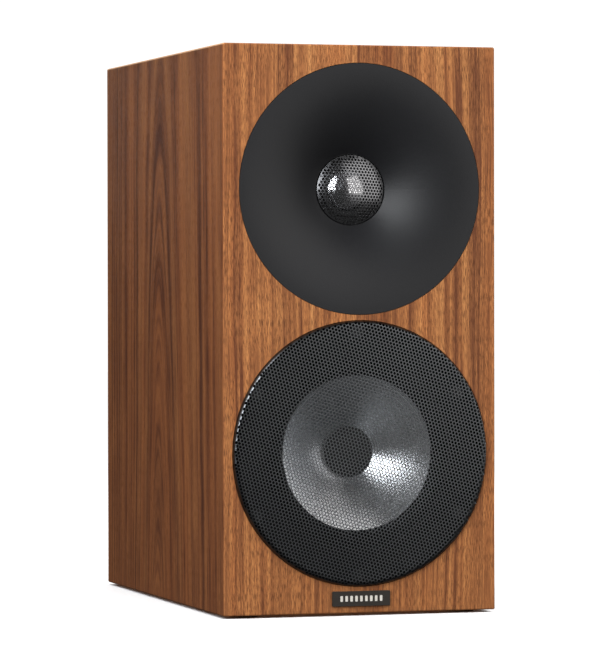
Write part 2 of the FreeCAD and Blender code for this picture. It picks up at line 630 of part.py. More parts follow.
def basket(parts):
    """Cast basket with spokes, and the gasket and screws that hold it in the baffle."""
    z = WOOFER_Z
    outer = GRILLE_R - 0.2
    land = GRILLE_R - FRAME_LAND
    flange_back = FRAME_DEPTH + FRAME_T
    neck = land - 2.5
    inner = ROLL_OUT + 1.0
    ledge_in = SPIDER_R - SPIDER_LIP + 0.4
    ledge_out = SPIDER_R + 0.6
    ring_in = MAGNET_BORE + 1.0
    tube_in = BASKET_RING_R - 2 * BASKET_T
    solid = turned(
        z, (outer, FRAME_DEPTH), (outer, flange_back), (neck, flange_back),
        (BASKET_RING_R, SPIDER_DEPTH + 2),
        (BASKET_RING_R, PLATE_DEPTH), (ring_in, PLATE_DEPTH), (ring_in, PLATE_DEPTH - BASKET_T),
        (tube_in, PLATE_DEPTH - BASKET_T), (tube_in, SPIDER_DEPTH + BASKET_T),
        (ledge_in, SPIDER_DEPTH + BASKET_T), (ledge_in, SPIDER_DEPTH), (ledge_out, SPIDER_DEPTH),
        (inner, flange_back), (inner, SURROUND_DEPTH), (land, SURROUND_DEPTH), (land, FRAME_DEPTH),
    )
    lug = block(-STRIP_W / 2, STRIP_W / 2, PLATE_DEPTH - BASKET_T, PLATE_DEPTH,
                z + BASKET_RING_R - 2 * BASKET_T, STRIP_Z + STRIP_H)
    solid = solid.fuse(lug)
    window = ring(z, SPIDER_R - 1, outer, flange_back + 2.5, SPIDER_DEPTH - 2.5)
    for i in range(SPOKES // 2):
        bar = block(-outer, outer, 0, PLATE_DEPTH, z - SPOKE_W / 2, z + SPOKE_W / 2)
        bar.rotate(V(0, 0, z), V(0, 1, 0), 360 * i / SPOKES)
        window = window.cut(bar)
    cuts = [window]
    screw_y = FRONT_Y + FRAME_DEPTH
    length = BAFFLE_BACK - FRAME_DEPTH - WOOFER_SCREW_SKIN
    places = round_places(WOOFER_SCREWS, WOOFER_SCREW_PCR, z, 30)
    for x, h in places:
        cuts.append(sunk_hole(x, h, screw_y, length, 1))
    parts["woofer_basket"] = cut_all(solid, cuts)
    parts["woofer_screws"] = Part.makeCompound([screw(x, h, screw_y, length, 1, True) for x, h in places])
    horn_ring = ring(TWEETER_Z, HORN_RIM_IN - 1, HORN_R - 0.5, HORN_RIM_T, HORN_SEAT)
    frame_ring = ring(z, land, outer, flange_back, WOOFER_SEAT)
    places += round_places(HORN_SCREWS, HORN_SCREW_PCR, TWEETER_Z, 45)
    holes = [rod(x, h, SCREW_R + HOLE_GAP, 0, BAFFLE_BACK) for x, h in places]
    parts["driver_gaskets"] = Part.makeCompound([cut_all(horn_ring, holes), cut_all(frame_ring, holes)])


def cone_and_suspension(parts):
    """Metal cone, dust cap, surround, spider, coil former and winding."""
    z = WOOFER_Z
    lip_in = CONE_R - CONE_LIP
    neck = FORMER_R
    mid_r = (lip_in + neck) / 2
    mid_d = (CONE_DEPTH + NECK_DEPTH) / 2 - 1.1
    t = CONE_T
    parts["woofer_cone"] = turned(
        z, (CONE_R, CONE_DEPTH), (CONE_R, CONE_DEPTH + t), (lip_in, CONE_DEPTH + t),
        ((mid_r - t / 2, mid_d + t), (neck, NECK_DEPTH + t)), (neck, NECK_DEPTH - t),
        ((mid_r + t / 2, mid_d - t / 2), (lip_in + t, CONE_DEPTH)),
    )
    cap_seat = cone_face_depth(CAP_R, lip_in, neck, mid_r, mid_d)
    parts["woofer_dust_cap"] = turned(
        z, (0, cap_seat - CAP_RISE), (dome_point(CAP_R, CAP_RISE, 0.707, cap_seat), (CAP_R, cap_seat)),
        (CAP_R - CAP_T, cap_seat),
        (dome_point(CAP_R - CAP_T, CAP_RISE - CAP_T, 0.707, cap_seat), (0, cap_seat - CAP_RISE + CAP_T)),
    )
    coil_end = COIL_DEPTH + COIL_L
    parts["woofer_coil_former"] = ring(z, COIL_BORE, FORMER_R, NECK_DEPTH - 1.0, coil_end)
    parts["woofer_voice_coil"] = ring(z, FORMER_R, FORMER_R + COIL_T, COIL_DEPTH, coil_end)
    back = CONE_DEPTH + t
    s = SURROUND_T
    outer_lip = SURROUND_DEPTH - s
    top = CONE_DEPTH - ROLL_RISE
    crown = (ROLL_IN + ROLL_OUT) / 2
    lip_out = GRILLE_R - FRAME_LAND - GLUE
    parts["woofer_surround"] = turned(
        z, (lip_in + 0.6, back), (ROLL_IN - 0.2, back), (ROLL_IN, back - 0.2),
        ((crown, top), (ROLL_OUT, outer_lip)), (lip_out, outer_lip), (lip_out, SURROUND_DEPTH),
        (ROLL_OUT - s, SURROUND_DEPTH), ((crown, top + s), (ROLL_IN + s, back + s)), (lip_in + 0.6, back + s),
    )
    parts["woofer_spider"] = turned(z, *spider_outline())


def cone_face_depth(radius, lip_in, neck, mid_r, mid_d):
    """Depth of the cone's front face at a radius, from the arc through its rim, middle and neck."""
    t = CONE_T
    rim = V(lip_in + t, CONE_DEPTH, 0)
    circle = Part.Arc(rim, V(mid_r + t / 2, mid_d - t / 2, 0), V(neck, NECK_DEPTH - t, 0)).toShape().Curve
    centre = circle.Center
    side = -1.0 if centre.y > mid_d else 1.0
    return centre.y + side * math.sqrt(circle.Radius ** 2 - (radius - centre.x) ** 2)


def spider_outline():
    """Start and moves of the corrugated spider's section."""
    inner = FORMER_R + GLUE
    wave_in = inner + 2.0
    wave_out = SPIDER_R - SPIDER_LIP
    step = (wave_out - wave_in) / (2 * SPIDER_WAVES)
    level = SPIDER_DEPTH - SPIDER_T
    front = []
    back = []
    for i in range(2 * SPIDER_WAVES):
        lift = SPIDER_AMP if i % 2 else -SPIDER_AMP
        middle = wave_in + (i + 0.5) * step
        front.append(((middle, level + lift), (wave_in + (i + 1) * step, level)))
        back.append(((middle, level + lift + SPIDER_T), (wave_in + i * step, level + SPIDER_T)))
    rim = [(SPIDER_R, level), (SPIDER_R, SPIDER_DEPTH), (wave_out, SPIDER_DEPTH)]
    return [(inner, level), (wave_in, level)] + front + rim + back[::-1] + [(inner, SPIDER_DEPTH)]


def motor(parts):
    """Top plate, magnet and vented yoke of the bass-mid driver."""
    z = WOOFER_Z
    parts["woofer_top_plate"] = ring(z, PLATE_BORE, PLATE_R, PLATE_DEPTH, PLATE_DEPTH + PLATE_T)
    parts["woofer_magnet"] = ring(z, MAGNET_BORE, MAGNET_R, PLATE_DEPTH + PLATE_T, YOKE_DEPTH)
    parts["woofer_yoke"] = turned(
        z, (VENT_R, PLATE_DEPTH), (POLE_R, PLATE_DEPTH), (POLE_R, YOKE_DEPTH), (PLATE_R, YOKE_DEPTH),
        (PLATE_R, YOKE_DEPTH + YOKE_T - 1.5), (PLATE_R - 1.5, YOKE_DEPTH + YOKE_T),
        (VENT_R + 2.0, YOKE_DEPTH + YOKE_T), (VENT_R, YOKE_DEPTH + YOKE_T - 2.0),
    )


# ---- rear: port, terminals ---------------------------------------------------------------------
def port(parts):
    """Reflex port with a flared mouth and a flange on the rear board."""
    end = CAB_D + REAR_PROUD
    start = end - PORT_L
    k = 1 - math.sqrt(0.5)
    mouth = PORT_R + PORT_FLARE
    tube = PORT_R + PORT_WALL
    throat = end - PORT_FLARE
    inner = PORT_R + PORT_INNER_FLARE
    bell = start + PORT_INNER_FLARE
    lip = 0.6
    outer_bell = PORT_INNER_FLARE - PORT_WALL + lip
    parts["port_tube"] = turned(
        PORT_Z, (PORT_R, throat), ((PORT_R + PORT_FLARE * k, end - PORT_FLARE * k), (mouth, end)),
        (PORT_FLANGE_R - 1.0, end), ((PORT_FLANGE_R - k, end - k), (PORT_FLANGE_R, end - 1.0)),
        (PORT_FLANGE_R, end - PORT_FLANGE_T), (mouth + PORT_WALL, end - PORT_FLANGE_T),
        ((tube + PORT_FLARE * k, end - PORT_FLANGE_T - (PORT_FLARE - 1.0) * k), (tube, throat - PORT_WALL)),
        (tube, start + lip + outer_bell),
        ((tube + outer_bell * k, start + lip + outer_bell * k), (inner + lip, start + lip)),
        (inner, start), ((PORT_R + PORT_INNER_FLARE * k, start + PORT_INNER_FLARE * k), (PORT_R, bell)),
    )


def terminal_plate(parts):
    """Moulded terminal plate with a recess, its screws and the two binding posts' fixed pieces."""
    end = CAB_D + REAR_PROUD
    front = end - TERM_T
    floor_back = end - RECESS_DEPTH
    plate = board(-TERM_W / 2, TERM_W / 2, front, end, TERM_Z - TERM_H / 2, TERM_Z + TERM_H / 2, TERM_R)
    wall_w = RECESS_W / 2 + TERM_T
    wall_h = RECESS_H / 2 + TERM_T
    tub_r = RECESS_R + TERM_T
    tub = board(-wall_w, wall_w, floor_back - TERM_T, front + 1, TERM_Z - wall_h, TERM_Z + wall_h, tub_r)
    half_w = RECESS_W / 2
    half_h = RECESS_H / 2
    hollow = board(-half_w, half_w, floor_back, end + 1, TERM_Z - half_h, TERM_Z + half_h, RECESS_R)
    solid = plate.fuse(tub).cut(hollow)
    cuts = [sunk_hole(x, z, FRONT_Y + end, 12, -1) for x, z in terminal_screw_places()]
    hole_end = floor_back - TERM_T - 1
    cuts += [rod(x, TERM_Z, TAIL_R + HOLE_GAP, hole_end, floor_back + 1) for x in post_places()]
    parts["terminal_plate"] = cut_all(solid, cuts)
    screws = [screw(x, z, FRONT_Y + end, TERM_SCREW_L, -1, True) for x, z in terminal_screw_places()]
    parts["terminal_screws"] = Part.makeCompound(screws)


def post_places():
    """Where the posts stand: black first, on the left as seen from the front, then red."""
    return (-POST_PITCH / 2, POST_PITCH / 2)


def tube_out(x, inner, outer, out0, out1):
    """A ring or disc on a post's axis, between two distances out from the recess's floor."""
    solid = Part.makeCylinder(outer, out1 - out0, V(x, RECESS_Y + out0, TERM_Z), V(0, 1, 0))
    if inner > 0:
        start = V(x, RECESS_Y + out0 - 1, TERM_Z)
        solid = solid.cut(Part.makeCylinder(inner, out1 - out0 + 2, start, V(0, 1, 0)))
    return solid


def post_stud(x):
    """Plated stud: tail, flange, cross hole for bare wire, and a socket for a plug."""
    tail = tube_out(x, 0, TAIL_R, -TERM_T - TAIL_L, POST_BASE_T + 0.5)
    flange = tube_out(x, 0, POST_FLANGE_R, POST_BASE_T, POST_BASE_T + POST_FLANGE_T)
    shaft = tube_out(x, 0, POST_R, POST_BASE_T + POST_FLANGE_T - 0.5, POST_L)
    tip = [e for e in shaft.Edges if abs(e.CenterOfMass.y - RECESS_Y - POST_L) < 1e-6
           and e.Curve.TypeId == "Part::GeomCircle"]
    shaft = shaft.makeChamfer(0.5, tip)
    solid = tail.fuse([flange, shaft])
    solid = solid.cut(tube_out(x, 0, SOCKET_R, POST_L - SOCKET_L, POST_L + 1))
    foot = V(x, RECESS_Y + WIRE_HOLE_OUT, TERM_Z - 2 * POST_R)
    return solid.cut(Part.makeCylinder(WIRE_HOLE_R, 4 * POST_R, foot)).removeSplitter()


def thumb_nut(x, out0):
    """Fluted thumb nut with a rounded outer end."""
    bore = POST_R + RUN
    k = 1 - math.sqrt(0.5)
    top = out0 + NUT_L
    soft = 1.6
    profile = [
        Part.LineSegment(V(bore, out0, 0), V(NUT_R - 0.8, out0, 0)).toShape(),
        Part.LineSegment(V(NUT_R - 0.8, out0, 0), V(NUT_R, out0 + 0.8, 0)).toShape(),
        Part.LineSegment(V(NUT_R, out0 + 0.8, 0), V(NUT_R, top - soft, 0)).toShape(),
        Part.Arc(
            V(NUT_R, top - soft, 0), V(NUT_R - soft * k, top - soft * k, 0), V(NUT_R - soft, top, 0)
        ).toShape(),
        Part.LineSegment(V(NUT_R - soft, top, 0), V(bore, top, 0)).toShape(),
        Part.LineSegment(V(bore, top, 0), V(bore, out0, 0)).toShape(),
    ]
    solid = Part.Face(Part.Wire(profile)).revolve(V(0, 0, 0), V(0, 1, 0), 360)
    if solid.Volume < 0:
        solid.reverse()
    flutes = []
    for fx, fz in round_places(NUT_FLUTES, NUT_R + 0.2, 0):
        flutes.append(Part.makeCylinder(FLUTE_R, NUT_L - 5.0, V(fx, out0 + 2.0, fz), V(0, 1, 0)))
    solid = cut_all(solid, flutes)
    solid.translate(V(x, RECESS_Y, TERM_Z))
    return solid


def binding_posts(parts):
    """Two binding posts, each with a stud, an insulating base, a clamp washer and a thumb nut."""
    seat = POST_BASE_T + POST_FLANGE_T
    bases = []
    nuts = []
    for colour, x in zip(("black", "red"), post_places()):
        parts[colour + "_post_stud"] = post_stud(x)
        low = seat + SEAT_GAP
        parts[colour + "_clamp_washer"] = tube_out(x, POST_R + RUN, WASHER_R, low, low + WASHER_T)
        parts[colour + "_thumb_nut"] = thumb_nut(x, low + WASHER_T + SEAT_GAP)
        bases.append(tube_out(x, TAIL_R + HOLE_GAP, POST_BASE_R, 0, POST_BASE_T))
        bases.append(tube_out(x, TAIL_R + HOLE_GAP, POST_BASE_R, -TERM_T - POST_BASE_T, -TERM_T))
        bar = hexagon(x, TERM_Z, LOCK_AF / math.sqrt(3), RECESS_Y + TAG_BACK - LOCK_T, LOCK_T)
        nuts.append(bar.cut(tube_out(x, 0, TAIL_R, TAG_BACK - LOCK_T - 1, TAG_BACK + 1)))
    parts["post_insulators"] = Part.makeCompound(bases)
    parts["post_lock_nuts"] = Part.makeCompound(nuts)


# ---- wiring, crossover, damping ----------------------------------------------------------------
def post_tag(x):
    """Solder tag under a lock nut, with an ear that points down."""
    eye = tube_out(x, TAIL_R + HOLE_GAP, 1.15 * TAG_W, TAG_BACK, TAG_BACK + TAG_T)
    drop = TAG_DROP + TAG_W / 2
    corner = V(x - TAG_W / 2, RECESS_Y + TAG_BACK, TERM_Z - drop)
    ear = Part.makeBox(TAG_W, TAG_T, drop - TAIL_R - 1.0, corner)
    return eye.fuse(ear).removeSplitter()


def driver_tab(x, depth0, z, length):
    """A push-on tab on a square foot, pointing back into the cabinet."""
    half = TAB_FOOT / 2
    foot = block(x - half, x + half, depth0, depth0 + TAB_T, z - half, z + half)
    blade = block(x - TAB_T / 2, x + TAB_T / 2, depth0, depth0 + length, z - TAB_W / 2, z + TAB_W / 2)
    return foot.fuse(blade).removeSplitter()


def terminals(parts):
    """Tag strip on the basket's lug, and every solder tab and tag."""
    parts["woofer_terminal_strip"] = block(
        -STRIP_W / 2, STRIP_W / 2, PLATE_DEPTH, WOOFER_TAB_DEPTH, STRIP_Z, STRIP_Z + STRIP_H)
    tabs = [post_tag(x) for x in post_places()]
    tabs += [driver_tab(x, WOOFER_TAB_DEPTH, WOOFER_TAB_Z, TAB_L) for x in (-TAB_X, TAB_X)]
    for x in (-TWEETER_TAB_X, TWEETER_TAB_X):
        tabs.append(driver_tab(x, TW_FLANGE_BACK, TWEETER_Z, TWEETER_TAB_L))
    parts["solder_tabs"] = Part.makeCompound(tabs)


def coil(x, depth, bore, radius, height):
    """An air-cored inductor lying flat on the board."""
    base = V(x, FRONT_Y + depth, BOARD_Z + BOARD_T)
    solid = Part.makeCylinder(radius, height, base)
    solid = solid.makeFillet(1.2, [e for e in solid.Edges if e.Curve.TypeId == "Part::GeomCircle"])
    return solid.cut(Part.makeCylinder(bore, height + 2, base - V(0, 0, 1)))


def capacitor(x, depth, radius, length):
    """A film capacitor lying along the depth."""
    solid = rod(x, BOARD_Z + BOARD_T + radius, radius, depth, depth + length)
    ends = [e for e in solid.Edges if e.Curve.TypeId == "Part::GeomCircle"]
    return solid.makeFillet(1.0, ends)


def resistor(x, depth, length):
    """A ceramic power resistor."""
    return block(x - 4.8, x + 4.8, depth, depth + length, BOARD_Z + BOARD_T, BOARD_Z + BOARD_T + 9.0)


def pillar(x, y):
    """A moulded pillar with a headed pin that clips through the board."""
    base = V(x, y, INNER_Z0)
    post = Part.makeCylinder(PILLAR_R, BOARD_STAND, base)
    pin = Part.makeCylinder(PIN_R, BOARD_STAND + BOARD_T + PIN_HEAD_T / 2, base)
    head = Part.makeCylinder(PIN_HEAD_R, PIN_HEAD_T, base + V(0, 0, BOARD_STAND + BOARD_T))
    return post.fuse([pin, head]).removeSplitter()


def crossover(parts):
    """Board on four pillars, with inductors, capacitors and resistors."""
    front = BOARD_FRONT
    plate = block(-BOARD_W / 2, BOARD_W / 2, front, front + BOARD_L, BOARD_Z, BOARD_Z + BOARD_T)
    upright = [e for e in plate.Edges if abs(e.tangentAt(e.FirstParameter).z) > 0.99]
    plate = plate.makeFillet(BOARD_CORNER, upright)
    pillars = []
    holes = []
    for x in (-BOARD_W / 2 + PILLAR_IN, BOARD_W / 2 - PILLAR_IN):
        for y in (FRONT_Y + front + PILLAR_IN, FRONT_Y + front + BOARD_L - PILLAR_IN):
            pillars.append(pillar(x, y))
            holes.append(Part.makeCylinder(PIN_R + HOLE_GAP, 3 * BOARD_T, V(x, y, BOARD_Z - BOARD_T)))
    parts["crossover_board"] = Part.makeCompound([cut_all(plate, holes)] + pillars)
    parts["crossover_inductors"] = Part.makeCompound([
        coil(-23, front + 30, 9, 20.5, 18),
        coil(24, front + 27, 8, 16.5, 14),
        coil(30, front + 92, 6, 12.5, 11),
    ])
    parts["crossover_capacitors"] = Part.makeCompound([
        capacitor(-34, front + 62, 8.5, 42),
        capacitor(-13, front + 62, 9.5, 44),
        capacitor(9, front + 56, 7, 34),
    ])
    parts["crossover_resistors"] = Part.makeCompound([
        resistor(26, front + 50, 25),
        resistor(38.5, front + 50, 25),
    ])


def wires(parts):
    """Insulated leads in red and black: posts to board, board to bass-mid driver, board to tweeter."""
    top = BOARD_Z + BOARD_T
    tag_y = RECESS_Y + TAG_BACK
    tag_z = TERM_Z - TAG_DROP
    low_y = FRONT_Y + WOOFER_TAB_DEPTH + TAB_L
    low_z = WOOFER_TAB_Z
    high_y = FRONT_Y + TW_FLANGE_BACK + TWEETER_TAB_L
    high_z = TWEETER_Z
    for colour, s in (("black", -1), ("red", 1)):
        post_x = s * POST_PITCH / 2
        feed = [
            (post_x, tag_y, tag_z), (post_x, tag_y - 12, tag_z), (post_x + s * 2, tag_y - 23, tag_z - 7),
            (post_x + s * 5, tag_y - 30, top + 24), (post_x + s * 7, tag_y - 33, top + 11),
            (post_x + s * 7, tag_y - 33, top),
        ]
        bass = [
            (s * TAB_X, low_y, low_z), (s * TAB_X, low_y + 16, low_z), (s * 9, low_y + 31, low_z - 13),
            (s * 10, low_y + 38, low_z - 38), (s * 8, low_y + 41, low_z - 68), (s * 5, low_y + 38, top + 22),
            (s * 5, low_y + 38, top),
        ]
        side = s * TWEETER_TAB_X
        treble = [
            (side, high_y, high_z), (side, high_y + 14, high_z), (side + s * 3, high_y + 28, high_z - 16),
            (side + s * 5, high_y + 34, high_z - 42), (side + s * 6, high_y + 38, BRACE_Z),
            (side + s * 8, high_y + 44, BRACE_Z - 34), (side + s * 9, high_y + 50, BRACE_Z - 75),
            (side + s * 9, high_y + 56, top + 26), (side + s * 9, high_y + 56, top),
        ]
        tubes = [wire(f"{colour} feed", feed, WIRE_R), wire(f"{colour} bass lead", bass, WIRE_R),
                 wire(f"{colour} treble lead", treble, WIRE_R)]
        parts[colour + "_wires"] = Part.makeCompound(tubes)


def damping(parts):
    """Felt pads on both side boards, above and below the brace, and one under the top board."""
    pads = []
    inner = INNER_W / 2
    front = BAFFLE_BACK + 14
    back = REAR_FRONT - 12
    spans = ((BOARD_Z + 32, BRACE_Z - BRACE_T / 2 - 3), (BRACE_Z + BRACE_T / 2 + 3, INNER_Z1 - FELT_T - 3))
    for z0, z1 in spans:
        pads.append(block(-inner + FELT_GAP, -inner + FELT_GAP + FELT_T, front, back, z0, z1))
        pads.append(block(inner - FELT_GAP - FELT_T, inner - FELT_GAP, front, back, z0, z1))
    high = INNER_Z1 - FELT_GAP
    pads.append(block(-inner + 6, inner - 6, front, back, high - FELT_T, high))
    parts["damping_pads"] = Part.makeCompound(pads)


def main():
    """Builds every piece and writes one STEP file for each."""
    parts = {}
    steps = (
        veneers, cabinet, waveguide, guard, tweeter, woofer_grille, basket, cone_and_suspension, motor,
        port, terminal_plate, binding_posts, terminals, crossover, wires, damping,
    )
    for build in steps:
        build(parts)
    os.makedirs("parts", exist_ok=True)
    for name, shape in sorted(parts.items()):
        if not shape.isValid() or not shape.Solids or min(s.Volume for s in shape.Solids) <= 0:
            print("BAD SHAPE", name, shape.isValid(), [round(s.Volume, 2) for s in shape.Solids])
        shape.exportStep(f"parts/{name}.step")
    print(len(parts), "nodes")


main()
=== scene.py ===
"""A two-way bookshelf loudspeaker in walnut veneer: the looks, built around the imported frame."""
import math

import bmesh
import bpy
from mathutils import Matrix, Vector, noise


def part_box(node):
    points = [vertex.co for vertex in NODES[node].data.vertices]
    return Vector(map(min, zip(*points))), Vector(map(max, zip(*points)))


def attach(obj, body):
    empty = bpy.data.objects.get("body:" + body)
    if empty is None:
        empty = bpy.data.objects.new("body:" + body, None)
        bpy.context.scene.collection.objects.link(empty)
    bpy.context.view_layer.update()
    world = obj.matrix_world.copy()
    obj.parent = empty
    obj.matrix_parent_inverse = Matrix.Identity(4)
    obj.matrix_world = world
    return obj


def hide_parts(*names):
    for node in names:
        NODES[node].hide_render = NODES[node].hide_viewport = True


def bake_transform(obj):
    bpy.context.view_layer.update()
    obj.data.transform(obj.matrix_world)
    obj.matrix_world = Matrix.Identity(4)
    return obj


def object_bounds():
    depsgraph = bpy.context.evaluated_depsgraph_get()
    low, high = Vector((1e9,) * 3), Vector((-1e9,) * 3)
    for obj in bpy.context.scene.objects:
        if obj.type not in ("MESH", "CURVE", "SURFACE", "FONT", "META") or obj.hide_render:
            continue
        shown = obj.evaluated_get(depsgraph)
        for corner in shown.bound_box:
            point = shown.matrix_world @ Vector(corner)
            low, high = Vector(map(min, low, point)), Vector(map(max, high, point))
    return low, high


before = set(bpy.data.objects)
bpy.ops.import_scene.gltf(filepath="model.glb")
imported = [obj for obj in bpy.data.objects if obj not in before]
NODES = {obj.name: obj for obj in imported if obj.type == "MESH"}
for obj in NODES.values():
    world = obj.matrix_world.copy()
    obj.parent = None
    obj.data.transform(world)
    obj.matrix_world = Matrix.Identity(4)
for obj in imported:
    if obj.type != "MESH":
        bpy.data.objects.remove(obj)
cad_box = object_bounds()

MM = 0.001


# ---- shader maths --------------------------------------------------------------------------------
class Signal:
    """One socket of a shader tree. Arithmetic on it adds Math nodes."""

    def __init__(self, finish, socket):
        self.finish = finish
        self.socket = socket

    def maths(self, operation, *values):
        return self.finish.node("ShaderNodeMath", {"operation": operation}, dict(enumerate(values)))

    def __add__(self, other):
        return self.maths("ADD", self, other)

    def __radd__(self, other):
        return self.maths("ADD", other, self)

    def __sub__(self, other):
        return self.maths("SUBTRACT", self, other)

    def __rsub__(self, other):
        return self.maths("SUBTRACT", other, self)

    def __mul__(self, other):
        return self.maths("MULTIPLY", self, other)

    def __rmul__(self, other):
        return self.maths("MULTIPLY", other, self)

    def __truediv__(self, other):
        return self.maths("DIVIDE", self, other)

    def root(self):
        return self.maths("SQRT", self)

    def sine(self):
        return self.maths("SINE", self)

    def size(self):
        return self.maths("ABSOLUTE", self)

    def at_least(self, other):
        return self.maths("MAXIMUM", self, other)

    def between(self, low, high):
        """0 below low, 1 above high, and even in between."""
        return self.finish.node(
            "ShaderNodeMapRange", {"clamp": True},
            {"Value": self, "From Min": low, "From Max": high, "To Min": 0.0, "To Max": 1.0})


class Finish:
    """One material: a Principled shader and the nodes that feed it."""

    def __init__(self, name, **constants):
        self.material = bpy.data.materials.new(name)
        self.material.use_nodes = True
        self.tree = self.material.node_tree
        self.tree.nodes.clear()
        output = self.tree.nodes.new("ShaderNodeOutputMaterial")
        self.shader = self.tree.nodes.new("ShaderNodeBsdfPrincipled")
        self.tree.links.new(self.shader.outputs[0], output.inputs[0])
        for key, value in constants.items():
            words = key.replace("_", " ").title().replace("Ior", "IOR")
            self.shader.inputs[words].default_value = value

    def node(self, kind, settings=None, sockets=None, out=0):
        """Adds a node: its settings first, then the values or links of its sockets."""
        made = self.tree.nodes.new(kind)
        for key, value in (settings or {}).items():
            if key == "stops":
                self.set_stops(made.color_ramp, value)
            else:
                setattr(made, key, value)
        for key, value in (sockets or {}).items():
            if isinstance(value, Signal):
                self.tree.links.new(value.socket, made.inputs[key])
            else:
                made.inputs[key].default_value = value
        return Signal(self, made.outputs[out])

    @staticmethod
    def set_stops(ramp, stops):
        while len(ramp.elements) < len(stops):
            ramp.elements.new(0.5)
        for element, (place, colour) in zip(ramp.elements, stops):
            element.position = place
            element.color = colour

    def feed(self, socket, signal):
        self.tree.links.new(signal.socket, self.shader.inputs[socket])

    def place(self):
        """Object coordinates, in metres."""
        return self.node("ShaderNodeTexCoord", out="Object")

    def axes(self):
        split = self.node("ShaderNodeSeparateXYZ", sockets={0: self.place()}).socket.node
        return [Signal(self, split.outputs[i]) for i in range(3)]

    def point(self, x, y, z):
        return self.node("ShaderNodeCombineXYZ", sockets={0: x, 1: y, 2: z})

    def noise(self, vector, scale=1.0, detail=3.0, roughness=0.5):
        return self.node(
            "ShaderNodeTexNoise", {"noise_dimensions": "3D"},
            {"Vector": vector, "Scale": scale, "Detail": detail, "Roughness": roughness})

    def cells(self, vector, scale, feature="F1"):
        return self.node("ShaderNodeTexVoronoi", {"feature": feature}, {"Vector": vector, "Scale": scale})

    def ramp(self, signal, *stops):
        return self.node("ShaderNodeValToRGB", {"stops": stops}, {0: signal})

    def mix(self, share, first, second, blend="MIX"):
        """Two colours by a share of the second. The node's colour sockets are 6, 7 and its output 2."""
        return self.node(
            "ShaderNodeMix", {"data_type": "RGBA", "blend_type": blend}, {0: share, 6: first, 7: second},
            out=2)

    def bump(self, height, distance, strength=1.0):
        self.feed("Normal", self.node(
            "ShaderNodeBump", sockets={"Height": height, "Distance": distance, "Strength": strength}))

    def paint(self, *nodes):
        for name in nodes:
            NODES[name].material_slots[0].material = self.material


def tint(red, green, blue):
    """A display colour, 0 to 255 a channel, as a linear colour."""
    shares = [c / 255 for c in (red, green, blue)]
    return tuple(s / 12.92 if s <= 0.04045 else ((s + 0.055) / 1.055) ** 2.4 for s in shares) + (1.0,)


def shaded(colour, share):
    """A darker tone of a colour."""
    return tuple(share * c for c in colour[:3]) + (1.0,)


# ---- wood ----------------------------------------------------------------------------------------
def walnut(name, along, across, light, middle, dark, heart=-0.7, taper=0.0, root=0.0, seed=0.0,
           flecks=0.5, figure=0.5):
    """Open-pored walnut veneer under a satin lacquer.

    Growth rings are bands of a slow distance from the heart: far away they run straight, and close by,
    with a taper along the grain, they close into a pointed figure.
    """
    wood = Finish(name, specular_ior_level=0.1)
    axes = wood.axes()
    length = axes[along]
    width = axes[across]
    drift = wood.noise(wood.point(width * 9 + seed, length * 2.2, seed), 1.0, 2.0)
    waver = wood.noise(wood.point(width * 60, length * 11 + seed, seed), 1.0, 2.0)
    side = width - heart + (drift - 0.5) * 0.022 + (waver - 0.5) * 0.0022
    rise = (length - root) * taper
    ring = (side * side + rise * rise).root() + side * 0.4
    bands = wood.noise(wood.point(ring * 38, length * 0.6, seed + 3), 1.0, 2.0, 0.55)
    lines = wood.noise(wood.point(ring * 260, length * 1.6, seed + 7), 1.0, 3.0, 0.6)
    fibres = wood.noise(wood.point(ring * 1500, length * 26, seed + 11), 1.0, 2.0, 0.6)
    slant = side * 3000 + length * 60
    dashes = wood.noise(wood.point(slant, length * 210, seed + 17), 1.0, 2.0, 0.6)
    patches = wood.noise(wood.point(width * 70, length * 26, seed + 19), 1.0, 2.0)
    tone = bands * figure + lines * (0.95 - figure) + patches * 0.18 + (fibres - 0.5) * 0.34 - 0.065
    colour = wood.ramp(tone.between(0.37, 0.68), (0.0, dark), (0.45, middle), (1.0, light))
    pores = dashes.between(0.46, 0.6) * patches.between(0.15, 0.5)
    redder = wood.noise(wood.point(ring * 95, length * 1.2, seed + 29), 1.0, 2.0).between(0.35, 0.65)
    colour = wood.mix(redder * 0.4, colour, (1.0, 0.78, 0.68, 1.0), "MULTIPLY")
    colour = wood.mix(pores * flecks, colour, shaded(dark, 0.5))
    # Painted highlight: a pale tone mixed into the veneer along the cabinet's rounded edges.
    colour = wood.mix(painted_edge_highlight(wood, axes) * 0.55, colour, tint(222, 178, 136))
    wood.feed("Base Color", colour)
    wood.feed("Roughness", 0.4 + fibres * 0.12 + pores * 0.15)
    wood.bump(fibres * 0.35 - pores, 0.00006, 0.6)
    return wood


def painted_edge_highlight(finish, axes):
    """Painted highlight mask: 1 along the cabinet's rounded edges, where a pale line of light is painted
    into the veneer, and 0 on its faces.
    """
    low, high = cad_box
    highlight_band = 1.4 * MM
    depths = []
    for axis, least, most in zip(axes, low, high):
        reach = (most - least) / 2 - highlight_band
        away = (axis - (least + most) / 2).size()
        depths.append(((away - reach) / (1.0 * MM)).at_least(0.0))
    x, y, z = depths
    return (x * y + y * z + x * z).between(0.35, 0.8)


def pressed_board():
    """Medium-density fibreboard: pale brown, felted fibres, matt."""
    board = Finish("fibreboard", specular_ior_level=0.3)
    clumps = board.noise(board.place(), 900, 4, 0.7)
    blotches = board.noise(board.place(), 60, 2)
    colour = board.ramp(clumps * 0.7 + blotches * 0.3, (0.3, tint(126, 94, 62)), (0.7, tint(173, 140, 101)))
    board.feed("Base Color", colour)
    board.feed("Roughness", 0.75 + clumps * 0.2)
    board.bump(clumps, 0.00008)
    return board


